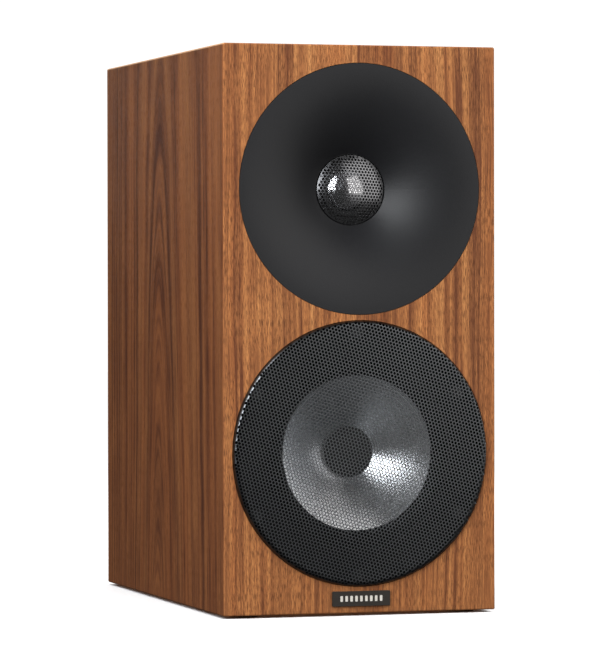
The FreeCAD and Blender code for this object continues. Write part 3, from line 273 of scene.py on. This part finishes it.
# ---- moulded and painted parts -------------------------------------------------------------------
def moulded(name, colour, roughness, grain=900, depth=0.00003, **constants):
    """Moulded or painted surface with a fine texture and a slight change of tone."""
    part = Finish(name, **constants)
    fine = part.noise(part.place(), grain, 2, 0.6)
    broad = part.noise(part.place(), 22, 2)
    tone = (fine * 0.6 + broad * 0.4).between(0.35, 0.65)
    part.feed("Base Color", part.mix(tone, shaded(colour, 0.76), colour))
    part.feed("Roughness", roughness - 0.04 + broad * 0.05 + fine * 0.05)
    part.bump(fine, depth)
    return part


def turned_metal(name, colour, roughness, centre, pitch, depth):
    """Metal with fine rings about a driver's axis, as a lathe or a spinning tool leaves them."""
    part = Finish(name, metallic=1.0)
    x, _, z = part.axes()
    u = x - centre.x
    v = z - centre.z
    radius = (u * u + v * v).root()
    rings = part.noise(part.point(radius / pitch, 0.0, 0.0), 1.0, 3, 0.6)
    cloud = part.noise(part.place(), 45, 2)
    tone = rings.between(0.3, 0.7) * 0.8 + cloud * 0.2
    part.feed("Base Color", part.mix(tone, shaded(colour, 0.8), colour))
    part.feed("Roughness", roughness - 0.04 + rings * 0.06 + cloud * 0.02)
    part.bump(rings, depth)
    return part


def bare_metal(name, colour, roughness):
    """Plated, drawn or rolled metal, a little uneven."""
    part = Finish(name, metallic=1.0)
    cloud = part.noise(part.place(), 130, 3)
    fine = part.noise(part.place(), 500, 2)
    part.feed("Base Color", part.mix(cloud.between(0.35, 0.65), shaded(colour, 0.72), colour))
    part.feed("Roughness", roughness - 0.06 + cloud * 0.08 + fine * 0.04)
    part.bump(fine, 0.01 * MM)
    return part


def sintered():
    """Ferrite: charcoal grey, grainy, ground faces."""
    part = Finish("ferrite", metallic=0.15)
    grains = part.cells(part.place(), 1600)
    cloud = part.noise(part.place(), 90, 3)
    part.feed("Base Color", part.ramp(
        grains * 0.5 + cloud * 0.5, (0.3, tint(38, 38, 41)), (0.75, tint(74, 73, 76))))
    part.feed("Roughness", 0.5 + cloud * 0.25)
    part.bump(grains, 0.00004)
    return part


def winding(name, axis, pitch, spread):
    """Enamelled copper wire wound in close turns along an axis."""
    part = Finish(name, metallic=1.0, coat_weight=0.5, coat_roughness=0.15)
    along = part.axes()[axis]
    turns = (along * (2 * math.pi / pitch)).sine() * 0.5 + 0.5
    change = part.noise(part.place(), spread, 2)
    part.feed("Base Color", part.mix(turns, tint(104, 45, 22), tint(206, 116, 66)))
    part.feed("Roughness", 0.28 + change * 0.15)
    part.bump(turns + change * 0.3, pitch * 0.22)
    return part


def glazed(name, colour, gloss, specks):
    """Cement or film case: chalky or glossy, with small specks."""
    part = Finish(name)
    grit = part.noise(part.place(), 1400, 3, 0.7)
    cloud = part.noise(part.place(), 70, 2)
    part.feed("Base Color", part.mix(grit.between(0.55, 0.8) * specks, colour, shaded(colour, 0.45)))
    part.feed("Roughness", gloss + cloud * 0.12)
    part.bump(grit, 0.00003)
    return part


def felted(name, light, dark, scale):
    """Needled or woven fibre: matt, with a fine nap."""
    cloth = Finish(name, sheen_weight=0.35, sheen_roughness=0.5, specular_ior_level=0.15)
    nap = cloth.noise(cloth.place(), scale, 4, 0.75)
    tufts = cloth.noise(cloth.place(), scale * 0.16, 2)
    cloth.feed("Base Color", cloth.mix((nap * 0.7 + tufts * 0.3).between(0.35, 0.65), dark, light))
    cloth.feed("Roughness", 0.85 + nap * 0.12)
    cloth.bump(nap + tufts * 0.5, 0.0003)
    return cloth


def impregnated(name, light, dark, centre):
    """Varnished open-weave cloth of a spider or a tweeter's roll: threads crossing at right angles."""
    cloth = Finish(name, sheen_weight=0.1)
    x, _, z = cloth.axes()
    pitch = 2 * math.pi / (0.45 * MM)
    weave = ((x - centre.x) * pitch).sine() * ((z - centre.z) * pitch).sine() * 0.5 + 0.5
    cloud = cloth.noise(cloth.place(), 120, 3)
    cloth.feed("Base Color", cloth.mix(weave * 0.7 + cloud * 0.3, dark, light))
    cloth.feed("Roughness", 0.62 + cloud * 0.2)
    cloth.bump(weave, 0.00008)
    return cloth


def circuit(name):
    """Glass-fibre board: green lacquer over a faint weave, tracks a shade lighter."""
    part = Finish(name, coat_weight=0.3, coat_roughness=0.25)
    x, y, z = part.axes()
    pitch = 2 * math.pi / (0.9 * MM)
    weave = (x * pitch).sine() * ((y + z) * pitch).sine() * 0.5 + 0.5
    tracks = part.cells(part.point(x * 60, y * 60, z * 60), 1.0, "DISTANCE_TO_EDGE").between(0.06, 0.1)
    green = part.mix(weave, tint(22, 66, 44), tint(28, 78, 52))
    part.feed("Base Color", part.mix(tracks, tint(52, 112, 70), green))
    part.feed("Roughness", 0.42 - weave * 0.08)
    part.bump(weave * 0.3 - tracks, 0.00004)
    return part


# ---- mesh helpers --------------------------------------------------------------------------------
def finished(bm, name, body, finish, sharp=40.0):
    """Closes a bmesh as a piece that rides on a body."""
    for face in bm.faces:
        face.smooth = True
    mesh = bpy.data.meshes.new(name)
    bm.to_mesh(mesh)
    bm.free()
    mesh.set_sharp_from_angle(angle=math.radians(sharp))
    mesh.materials.append(finish.material)
    piece = bpy.data.objects.new(name, mesh)
    bpy.context.scene.collection.objects.link(piece)
    if body:
        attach(piece, body)
    return piece


def node_centre(name):
    low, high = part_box(name)
    return (low + high) / 2


def cell_outline(bm, pitch, sides, filled=False):
    """The corners of a six-sided cell, with a point halfway along each side for a twelve-sided hole."""
    made = bmesh.ops.create_circle(bm, segments=sides, radius=pitch / math.sqrt(3), cap_ends=filled)["verts"]
    if sides == 12:
        for vert in made[1::2]:
            vert.co *= math.cos(math.pi / 6)
    return made


def plain_cell(bm, pitch, sides):
    """A six-sided cell with no hole."""
    cell_outline(bm, pitch, sides, filled=True)


def holed_cell(bm, pitch, hole_radius, sides):
    """A six-sided cell with a hole in it."""
    outer = cell_outline(bm, pitch, sides)
    inner = bmesh.ops.create_circle(bm, segments=sides, radius=hole_radius)["verts"]
    in_hole = bm.verts.layers.int["in_hole"]
    for vert in inner:
        vert[in_hole] = 1
    bmesh.ops.bridge_loops(bm, edges=list({edge for vert in outer + inner for edge in vert.link_edges}))


def tile(bm, make_cell, pitch, reach, wanted):
    """Lays copies of a cell in rows wherever wanted(x, y) is true, and takes the pattern row away."""
    before = set(bm.verts)
    make_cell(bm)
    first = [v for v in bm.verts if v not in before]
    count = int(reach / pitch) + 1
    cells = {}
    for k in range(-count, count + 1):
        made = bmesh.ops.duplicate(bm, geom=whole(first))["geom"]
        verts = [g for g in made if isinstance(g, bmesh.types.BMVert)]
        bmesh.ops.translate(bm, vec=(k * pitch, 0, 0), verts=verts)
        cells[k] = verts
    rise = pitch * math.sqrt(3) / 2
    for j in range(-count - count // 5, count + count // 5 + 1):
        shift = pitch / 2 if j % 2 else 0.0
        row = [v for k, verts in cells.items() if wanted(k * pitch + shift, j * rise) for v in verts]
        if not row:
            continue
        made = bmesh.ops.duplicate(bm, geom=whole(row))["geom"]
        verts = [g for g in made if isinstance(g, bmesh.types.BMVert)]
        bmesh.ops.translate(bm, vec=(shift, j * rise, 0), verts=verts)
    pattern = first + [v for verts in cells.values() for v in verts]
    bmesh.ops.delete(bm, geom=pattern, context="VERTS")


def whole(verts):
    """Vertices with the edges and faces between them."""
    edges = {e for v in verts for e in v.link_edges}
    faces = {f for v in verts for f in v.link_faces}
    return list(verts) + list(edges) + list(faces)


def perforated(pitch, hole_radius, sides, turn, holed_to, plain_to, form, thickness, centre):
    """A perforated sheet, cut flat and then pressed to form(s) -> (radius, y).

    s is the distance from the middle along the sheet. Holes stop at holed_to, and the sheet at plain_to.
    One hole is centred on the middle, so no corner lies there.
    """
    bm = bmesh.new()
    in_hole = bm.verts.layers.int.new("in_hole")
    tile(bm, lambda b: holed_cell(b, pitch, hole_radius, sides), pitch, holed_to,
         lambda x, y: math.hypot(x, y) < holed_to)
    tile(bm, lambda b: plain_cell(b, pitch, sides), pitch, plain_to,
         lambda x, y: holed_to <= math.hypot(x, y) < plain_to - 0.3 * pitch)
    bmesh.ops.remove_doubles(bm, verts=bm.verts[:], dist=0.02 * MM)
    rim = {v for e in bm.edges if e.is_boundary for v in e.verts if not v[in_hole]}
    bmesh.ops.rotate(bm, cent=(0, 0, 0), matrix=Matrix.Rotation(turn, 3, "Z"), verts=bm.verts[:])
    for v in bm.verts:
        s = v.co.length
        across = v.co / s
        if v in rim and s > plain_to - pitch:
            s = plain_to
        radius, depth = form(s)
        v.co = Vector((centre.x + across.x * radius, depth, centre.z + across.y * radius))
    bmesh.ops.recalc_face_normals(bm, faces=bm.faces[:])
    outward = sum(f.normal.y * f.calc_area() for f in bm.faces)
    if outward > 0:
        bmesh.ops.reverse_faces(bm, faces=bm.faces[:])
    bmesh.ops.solidify(bm, geom=bm.faces[:], thickness=thickness)
    return bm


def sector(outline, centre, angle, share, steps):
    """A closed section (radius, y) turned about the driver's axis through a share of a circle."""
    bm = bmesh.new()
    verts = [bm.verts.new((radius, depth, 0)) for radius, depth in outline]
    section = bm.faces.new(verts)
    bmesh.ops.rotate(
        bm, cent=(0, 0, 0), matrix=Matrix.Rotation(angle - share / 2, 3, "Y"), verts=verts)
    bmesh.ops.spin(
        bm, geom=[section], cent=(0, 0, 0), axis=(0, 1, 0), angle=share, steps=steps, use_duplicate=False)
    bmesh.ops.translate(bm, vec=(centre.x, 0, centre.z), verts=bm.verts[:])
    bmesh.ops.recalc_face_normals(bm, faces=bm.faces[:])
    return bm


def turned(outline, centre):
    """A closed section (radius, y) turned all the way round the driver's axis."""
    bm = bmesh.new()
    verts = [bm.verts.new((radius, depth, 0)) for radius, depth in outline]
    edges = [bm.edges.new(pair) for pair in zip(verts, verts[1:] + verts[:1])]
    bmesh.ops.spin(
        bm, geom=verts + edges, cent=(0, 0, 0), axis=(0, 1, 0), angle=2 * math.pi, steps=96,
        use_merge=True, use_duplicate=False)
    bmesh.ops.translate(bm, vec=(centre.x, 0, centre.z), verts=bm.verts[:])
    bmesh.ops.recalc_face_normals(bm, faces=bm.faces[:])
    return bm


def arc(start, middle, end, count):
    """Points from start to end on the circle through three points, without the start."""
    (ax, ay), (bx, by), (cx, cy) = start, middle, end
    twice = 2 * (ax * (by - cy) + bx * (cy - ay) + cx * (ay - by))
    a2, b2, c2 = ax * ax + ay * ay, bx * bx + by * by, cx * cx + cy * cy
    ux = (a2 * (by - cy) + b2 * (cy - ay) + c2 * (ay - by)) / twice
    uy = (a2 * (cx - bx) + b2 * (ax - cx) + c2 * (bx - ax)) / twice
    first = math.atan2(ay - uy, ax - ux)
    last = math.atan2(cy - uy, cx - ux)
    half = math.atan2(by - uy, bx - ux)
    turn = (last - first) % (2 * math.pi)
    if (half - first) % (2 * math.pi) > turn:
        turn -= 2 * math.pi
    radius = math.hypot(ax - ux, ay - uy)
    angles = [first + turn * i / count for i in range(1, count + 1)]
    return [(ux + radius * math.cos(a), uy + radius * math.sin(a)) for a in angles]


SECTORS = 12


def flexing(name, outline, centre, finish, outer, inner, steps=5):
    """A ring about the driver's axis, made in equal sectors, each turned from the same outline. The sectors
    are not attached to any body.
    """
    share = 2 * math.pi / SECTORS
    narrow = math.cos(share / 2)
    for i in range(SECTORS):
        angle = i * share
        bm = sector(outline, centre, angle, share, steps)
        piece = finished(bm, f"{name}_part_{i + 1}", None, finish)
        across = Vector((math.cos(angle), 0, -math.sin(angle)))
        place = Vector((centre.x, outline[0][1], centre.z))
        place + across * outer * narrow
        place + across * inner
        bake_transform(piece)
        if i == 0:
            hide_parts(name)


# ---- finishes ------------------------------------------------------------------------------------
X, Y, Z = 0, 1, 2
bass_axis = node_centre("woofer_cone")
treble_axis = node_centre("tweeter_dome")

front_wood = walnut(
    "walnut_front", Z, X, tint(198, 137, 83), tint(160, 104, 62), tint(104, 62, 40), seed=4.0, flecks=0.7,
    figure=0.3)
# The side veneers get darker tones than the front. This is partly the wood's own darker figure and partly
# painted shade for sides that catch less light.
side_wood = walnut(
    "walnut_side", Z, Y, tint(150, 98, 58), tint(122, 75, 45), tint(78, 44, 29),
    heart=0.02, taper=0.07, root=-0.25, seed=12.0, flecks=0.3, figure=0.2)
right_wood = walnut(
    "walnut_right", Z, Y, tint(150, 98, 58), tint(122, 75, 45), tint(78, 44, 29),
    heart=-0.02, taper=0.07, root=-0.2, seed=31.0, flecks=0.3, figure=0.2)
top_wood = walnut(
    "walnut_top", Y, X, tint(182, 124, 80), tint(150, 97, 61), tint(106, 65, 44), seed=22.0, flecks=0.4)
rear_wood = walnut(
    "walnut_rear", Z, X, tint(182, 124, 80), tint(150, 97, 61), tint(106, 65, 44), seed=45.0, flecks=0.4)
front_wood.paint("front_veneer")
side_wood.paint("left_veneer")
right_wood.paint("right_veneer")
top_wood.paint("top_veneer", "bottom_veneer")
rear_wood.paint("rear_veneer")
pressed_board().paint(
    "front_baffle", "rear_panel", "left_side_panel", "right_side_panel", "top_panel", "bottom_panel",
    "window_brace")

moulded("satin_black", tint(24, 24, 26), 0.46, grain=1100, depth=0.00004, specular_ior_level=0.32).paint(
    "waveguide")
moulded("moulded_black", tint(32, 32, 33), 0.5, grain=700).paint(
    "port_tube", "terminal_plate", "post_insulators", "tweeter_flange", "tweeter_rear_cup")
sheet_paint = moulded("painted_sheet", tint(100, 102, 104), 0.3, grain=2200, depth=0.000005, metallic=1.0)
guard_coat = moulded("coated_guard", tint(132, 132, 134), 0.24, grain=2200, depth=0.000005, metallic=1.0)
moulded("cap_matt", tint(14, 14, 15), 0.6, grain=1500, specular_ior_level=0.3).paint("woofer_dust_cap")
# Near black, darker than the bare casting: painted shade for the hollow behind the grille.
moulded("cast_alloy", tint(14, 14, 15), 0.55, grain=420, depth=0.00006, specular_ior_level=0.03).paint(
    "woofer_basket")
moulded("badge_dark", tint(52, 47, 42), 0.38, grain=1800, metallic=0.4).paint("badge_plate")
badge_light = moulded("badge_light", tint(214, 208, 198), 0.35, grain=1800)
# Near-black foam, darkened further as painted shade for the hollow behind the grille; the feet and the
# guard's rim share it.
foam = moulded("gasket_foam", tint(9, 9, 10), 0.85, grain=1300, depth=0.0002, specular_ior_level=0.03)
foam.paint("driver_gaskets", "foot_pads")
# Near-black rubber, darkened further as painted shade for the hollow behind the grille.
rubber = moulded("surround_rubber", tint(9, 9, 10), 0.5, grain=800, depth=0.00002, specular_ior_level=0.03)
moulded("red_nut", tint(178, 24, 26), 0.3, coat_weight=0.3).paint("red_thumb_nut")
moulded("black_nut", tint(26, 26, 28), 0.3, coat_weight=0.3).paint("black_thumb_nut")
moulded("red_cable", tint(170, 26, 28), 0.45, grain=600).paint("red_wires")
moulded("black_cable", tint(28, 28, 30), 0.45, grain=600).paint("black_wires")
moulded("black_screws", tint(30, 30, 32), 0.36, grain=1200, metallic=0.7).paint(
    "waveguide_screws", "woofer_screws", "tweeter_screws", "terminal_screws")

spun_metal = turned_metal("spun_cone", tint(238, 240, 242), 0.27, bass_axis, 0.25 * MM, 0.000004)
spun_metal.paint("woofer_coil_former")
turned_metal("dome_metal", tint(226, 226, 228), 0.12, treble_axis, 0.5 * MM, 0.000001).paint("tweeter_dome")
bare_metal("zinc_steel", tint(186, 188, 192), 0.34).paint(
    "woofer_top_plate", "woofer_yoke", "tweeter_top_plate", "tweeter_yoke", "post_lock_nuts")
bare_metal("gilt_brass", tint(232, 190, 112), 0.2).paint(
    "red_post_stud", "black_post_stud", "red_clamp_washer", "black_clamp_washer")
bare_metal("tinned_brass", tint(206, 204, 196), 0.3).paint("solder_tabs")
sintered().paint("woofer_magnet", "tweeter_magnet")
winding("coil_turns_flat", Z, 1.0 * MM, 400).paint("crossover_inductors")
winding("coil_turns_deep", Y, 0.3 * MM, 900).paint("woofer_voice_coil", "tweeter_voice_coil")
glazed("film_wrap", tint(196, 142, 40), 0.25, 0.15).paint("crossover_capacitors")
glazed("white_ceramic", tint(226, 222, 212), 0.7, 0.5).paint("crossover_resistors")
circuit("circuit_board").paint("crossover_board", "woofer_terminal_strip")
felt = felted("grey_felt", tint(134, 134, 138), tint(84, 84, 90), 1500)
spider_cloth = impregnated("spider_cloth", tint(206, 172, 106), tint(148, 112, 60), bass_axis)
roll_cloth = impregnated("roll_cloth", tint(44, 43, 44), tint(22, 22, 23), treble_axis)


# ---- grilles -------------------------------------------------------------------------------------
def bass_grille():
    """Pan of perforated steel over the bass-mid driver."""
    low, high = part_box("woofer_grille")
    pitch = 2.0 * MM
    hole_radius = 0.93 * MM
    last_hole = 74.0 * MM
    row_tilt = math.radians(-16.5)
    thickness = 0.5 * MM
    bend = 2.2 * MM
    radius = (high.x - low.x) / 2
    flat = radius - bend
    turn_end = flat + bend * math.pi / 2
    lip = high.y - low.y - bend

    def pan(s):
        if s <= flat:
            return s, low.y
        if s <= turn_end:
            angle = (s - flat) / bend
            return flat + bend * math.sin(angle), low.y + bend * (1 - math.cos(angle))
        return radius, low.y + bend + (s - turn_end)

    bm = perforated(
        pitch=pitch, hole_radius=hole_radius, sides=6, turn=row_tilt, holed_to=last_hole,
        plain_to=turn_end + lip, form=pan, thickness=thickness, centre=node_centre("woofer_grille"))
    piece = finished(bm, "perforated_bass_grille", "cabinet", sheet_paint)
    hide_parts("woofer_grille")


def treble_guard():
    """Domed perforated guard in the waveguide's throat."""
    low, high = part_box("tweeter_grille")
    centre = node_centre("tweeter_grille")
    thickness = 0.4 * MM
    outer = (high.x - low.x) / 2
    base = outer - 0.5 * MM
    seat = high.y - thickness
    rise = seat - low.y
    ball = (base * base + rise * rise) / (2 * rise)
    edge = ball * math.asin(base / ball)
    pitch = 2.0 * MM
    hole_radius = 0.8 * MM
    row_tilt = math.radians(-3)

    def dome(s):
        angle = s / ball
        return ball * math.sin(angle), low.y + ball * (1 - math.cos(angle))

    bm = perforated(
        pitch=pitch, hole_radius=hole_radius, sides=12, turn=row_tilt, holed_to=edge - 0.5 * pitch,
        plain_to=edge, form=dome, thickness=thickness, centre=centre)
    piece = finished(bm, "perforated_treble_guard", "cabinet", guard_coat)
    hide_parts("tweeter_grille")
    lip = base - 0.6 * MM
    outline = [(lip, seat + 0.1 * MM), (outer, seat + 0.1 * MM), (outer, high.y), (lip, high.y)]
    finished(turned(outline, centre), "treble_guard_rim", "cabinet", foam)


# ---- suspension ----------------------------------------------------------------------------------
def bass_surround():
    """Half-roll rubber surround."""
    low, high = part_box("woofer_surround")
    cone_low, cone_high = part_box("woofer_cone")
    rim = (cone_high.x - cone_low.x) / 2
    roll_in = rim + 0.5 * MM
    roll_out = roll_in + 10.6 * MM
    thick = 0.6 * MM
    back = high.y - thick
    lip_in = rim - 0.5 * MM
    lip_out = (high.x - low.x) / 2
    top = low.y
    crown = (roll_in + roll_out) / 2
    outline = [(lip_in, back), (roll_in - 0.2 * MM, back), (roll_in, back - 0.2 * MM)]
    outline += arc(outline[-1], (crown, top), (roll_out, back - thick), 14)
    outline += [(lip_out, back - thick), (lip_out, back), (roll_out - thick, back)]
    outline += arc(outline[-1], (crown, top + thick), (roll_in + thick, back + thick), 14)
    outline += [(lip_in, back + thick)]
    flexing("woofer_surround", outline, bass_axis, rubber,
            roll_out, roll_in)


def bass_cone():
    """Spun metal cone, flared from the coil former to its thin edge on the surround."""
    low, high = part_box("woofer_cone")
    former_low, former_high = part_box("woofer_coil_former")
    rim = (high.x - low.x) / 2
    neck = (former_high.x - former_low.x) / 2
    thick = 0.4 * MM
    flare = 1.1 * MM
    start = (rim - 0.2 * MM, low.y)
    end = (neck, high.y - 2 * thick)
    middle = ((start[0] + end[0]) / 2, (start[1] + end[1]) / 2 - flare)
    front = [(rim, low.y + 0.2 * MM), start] + arc(start, middle, end, 16)
    back_start = (neck, end[1] + thick)
    back_end = (rim, low.y + thick)
    back_middle = (middle[0], middle[1] + thick)
    back = [back_start] + arc(back_start, back_middle, back_end, 16)
    cone = turned(front + back, bass_axis)
    piece = finished(cone, "spun_bass_cone", "woofer_moving", spun_metal)
    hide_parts("woofer_cone")


def bass_spider():
    """Corrugated spider of varnished cloth."""
    low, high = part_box("woofer_spider")
    outer = (high.x - low.x) / 2
    former_low, former_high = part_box("woofer_coil_former")
    inner = (former_high.x - former_low.x) / 2 + 0.1 * MM
    wave_in = inner + 2.0 * MM
    wave_out = outer - 4.6 * MM
    thick = 0.5 * MM
    swing = 0.8 * MM
    level = low.y + swing
    waves = 8
    step = (wave_out - wave_in) / waves
    front = [(inner, level), (wave_in, level)]
    for i in range(waves):
        lift = swing if i % 2 else -swing
        start = wave_in + i * step
        front += arc((start, level), (start + step / 2, level + lift), (start + step, level), 5)
    front += [(outer, level)]
    back = [(radius, depth + thick) for radius, depth in reversed(front)]
    flexing("woofer_spider", front + back, bass_axis, spider_cloth,
            wave_out, wave_in)


def treble_surround():
    """Half-roll of coated cloth round the dome."""
    low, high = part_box("tweeter_surround")
    dome_low, dome_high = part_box("tweeter_dome")
    roll_in = (dome_high.x - dome_low.x) / 2 + 0.1 * MM
    lip = (high.x - low.x) / 2
    roll_out = lip - 2.0 * MM
    thick = 0.25 * MM
    base = high.y - thick
    top = low.y
    middle = (roll_in + roll_out) / 2
    outline = [(roll_in, base)] + arc((roll_in, base), (middle, top), (roll_out, base), 10)
    outline += [(lip, base), (lip, base + thick), (roll_out - thick, base + thick)]
    outline += arc(outline[-1], (middle, top + thick), (roll_in + thick, base + thick), 10)
    outline += [(roll_in, base + thick)]
    flexing("tweeter_surround", outline, treble_axis, roll_cloth,
            roll_out, roll_in, steps=6)


# ---- badge ---------------------------------------------------------------------------------------
def solid_boxes(name):
    """Lowest and highest corners of each separate solid in a node."""
    bm = bmesh.new()
    bm.from_mesh(NODES[name].data)
    bmesh.ops.remove_doubles(bm, verts=bm.verts[:], dist=0.001 * MM)
    seen = set()
    boxes = []
    for start in bm.verts:
        if start in seen:
            continue
        seen.add(start)
        solid = [start]
        for vert in solid:
            near = [edge.other_vert(vert) for edge in vert.link_edges]
            fresh = [other for other in near if other not in seen]
            seen.update(fresh)
            solid += fresh
        boxes.append([Vector([pick(v.co[axis] for v in solid) for axis in range(3)]) for pick in (min, max)])
    bm.free()
    return boxes


def felt_pads():
    """Slabs of needled felt on the boards: full in the middle, thin and soft at their cut edges."""
    cuts = 14
    thinned = 0.45
    dents = 0.12
    dent_scale = 2.3
    for number, (low, high) in enumerate(solid_boxes("damping_pads"), start=1):
        middle = (low + high) / 2
        half = (high - low) / 2
        thin = min(range(3), key=lambda axis: half[axis])
        bm = bmesh.new()
        bmesh.ops.create_cube(bm, size=2.0)
        bmesh.ops.subdivide_edges(bm, edges=bm.edges[:], cuts=cuts, use_grid_fill=True)
        for v in bm.verts:
            edge = max(abs(v.co[axis]) for axis in range(3) if axis != thin)
            spot = v.co * dent_scale + Vector((number, 0, 0))
            hollow = dents * (0.5 + 0.5 * noise.noise(spot))
            v.co[thin] *= 1 - thinned * edge ** 8 - hollow
        bmesh.ops.scale(bm, vec=half, verts=bm.verts[:])
        bmesh.ops.translate(bm, vec=middle, verts=bm.verts[:])
        piece = finished(bm, f"felt_pad_{number}", "cabinet", felt, sharp=70.0)
        if number == 1:
            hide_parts("damping_pads")


def badge_bars():
    """A plain row of upright bars, standing a little proud of the dark plate."""
    low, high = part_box("badge_plate")
    middle = (low + high) / 2
    bars = 9
    width = 1.5 * MM
    height = 3.2 * MM
    step = 2.9 * MM
    sunk = 0.1 * MM
    proud = 0.15 * MM
    bm = bmesh.new()
    for i in range(bars):
        made = bmesh.ops.create_cube(bm, size=1.0)["verts"]
        bmesh.ops.scale(bm, vec=(width, sunk + proud, height), verts=made)
        place = (middle.x + (i - (bars - 1) / 2) * step, low.y + (sunk - proud) / 2, middle.z)
        bmesh.ops.translate(bm, vec=place, verts=made)
    upright = [e for e in bm.edges if abs((e.verts[0].co - e.verts[1].co).normalized().y) > 0.9]
    bmesh.ops.bevel(
        bm, geom=upright, offset=0.35 * MM, affect="EDGES", segments=2, profile=0.5, material=-1)
    finished(bm, "badge_bars", "cabinet", badge_light)


bass_grille()
treble_guard()
bass_surround()
bass_cone()
bass_spider()
treble_surround()
felt_pads()
badge_bars()


# ---- studio --------------------------------------------------------------------------------------
def studio_floor():
    """A wide, plain, pale floor. It throws no light on the cabinet and shows in no reflection."""
    floor = Finish("pale_floor", roughness=0.9, base_color=(0.9, 0.9, 0.9, 1.0))
    bm = bmesh.new()
    bmesh.ops.create_grid(bm, x_segments=2, y_segments=2, size=6.0)
    mesh = bpy.data.meshes.new("floor")
    bm.to_mesh(mesh)
    bm.free()
    mesh.materials.append(floor.material)
    piece = bpy.data.objects.new("floor", mesh)
    bpy.context.scene.collection.objects.link(piece)
    piece.visible_diffuse = False
    piece.visible_glossy = False


def towards(azimuth, elevation):
    """Direction from the loudspeaker, in degrees; azimuth 0 is straight in front and 90 is along +X."""
    turn = math.radians(azimuth)
    tilt = math.radians(elevation)
    return Vector((math.sin(turn) * math.cos(tilt), -math.cos(turn) * math.cos(tilt), math.sin(tilt)))


def softbox(name, azimuth, elevation, distance, width, height, power, colour=(1.0, 1.0, 1.0)):
    """An area light that faces the middle of the loudspeaker."""
    target = Vector((0, 0, 0.17))
    away = towards(azimuth, elevation)
    light = bpy.data.lights.new(name, "AREA")
    light.shape = "RECTANGLE"
    light.size = width
    light.size_y = height
    light.energy = power
    light.color = colour
    holder = bpy.data.objects.new(name, light)
    holder.location = target + away * distance
    holder.rotation_euler = (-away).to_track_quat("-Z", "Y").to_euler()
    bpy.context.scene.collection.objects.link(holder)


def overhead(azimuth, elevation, strength, spread):
    """Even, very soft light from above, so that the floor is as pale far off as it is close by."""
    light = bpy.data.lights.new("overhead", "SUN")
    light.energy = strength
    light.angle = math.radians(spread)
    holder = bpy.data.objects.new("overhead", light)
    holder.rotation_euler = (-towards(azimuth, elevation)).to_track_quat("-Z", "Y").to_euler()
    holder.visible_glossy = False
    bpy.context.scene.collection.objects.link(holder)


def studio_world():
    """White to look at, dimmer as a fill light, and dimmer still as a reflection."""
    world = bpy.data.worlds.new("studio")
    bpy.context.scene.world = world
    world.use_nodes = True
    tree = world.node_tree
    tree.nodes.clear()

    def white(strength):
        made = tree.nodes.new("ShaderNodeBackground")
        made.inputs["Color"].default_value = (1.0, 1.0, 1.0, 1.0)
        made.inputs["Strength"].default_value = strength
        return made

    seen = white(1.1)
    fill = white(0.2)
    mirrored = white(0.07)
    path = tree.nodes.new("ShaderNodeLightPath")
    unseen = tree.nodes.new("ShaderNodeMixShader")
    choice = tree.nodes.new("ShaderNodeMixShader")
    output = tree.nodes.new("ShaderNodeOutputWorld")
    tree.links.new(path.outputs["Is Glossy Ray"], unseen.inputs[0])
    tree.links.new(fill.outputs[0], unseen.inputs[1])
    tree.links.new(mirrored.outputs[0], unseen.inputs[2])
    tree.links.new(path.outputs["Is Camera Ray"], choice.inputs[0])
    tree.links.new(unseen.outputs[0], choice.inputs[1])
    tree.links.new(seen.outputs[0], choice.inputs[2])
    tree.links.new(choice.outputs[0], output.inputs[0])


def camera():
    """Long lens, a little to the left of the front and about the height of the cabinet's middle."""
    lens = bpy.data.cameras.new("camera")
    lens.sensor_fit = "VERTICAL"
    lens.sensor_height = 36.0
    lens.lens = 207.0
    lens.clip_start = 0.05
    holder = bpy.data.objects.new("camera", lens)
    stand = Vector((-0.6530, -2.1699, 0.1839))
    yaw = math.radians(16.86)
    pitch = math.radians(-0.66)
    roll = math.radians(-0.09)
    turn = Matrix.Rotation(-yaw, 4, "Z") @ Matrix.Rotation(math.radians(90) + pitch, 4, "X")
    holder.matrix_world = Matrix.Translation(stand) @ turn @ Matrix.Rotation(roll, 4, "Z")
    bpy.context.scene.collection.objects.link(holder)
    bpy.context.scene.camera = holder


studio_floor()
softbox("left_box", azimuth=-45, elevation=24, distance=1.1, width=0.5, height=0.85, power=13.5,
        colour=(0.94, 0.97, 1.0))
softbox("front_panel", azimuth=36, elevation=17, distance=1.2, width=1.15, height=1.1, power=7.6,
        colour=(1.0, 0.985, 0.97))
softbox("right_box", azimuth=105, elevation=15, distance=1.2, width=1.0, height=1.0, power=8.0)
softbox("rear_box", azimuth=170, elevation=25, distance=1.3, width=1.0, height=1.0, power=5.0)
overhead(azimuth=20, elevation=84, strength=3.25, spread=60)
studio_world()
camera()
bpy.context.scene.view_settings.view_transform = "Standard"
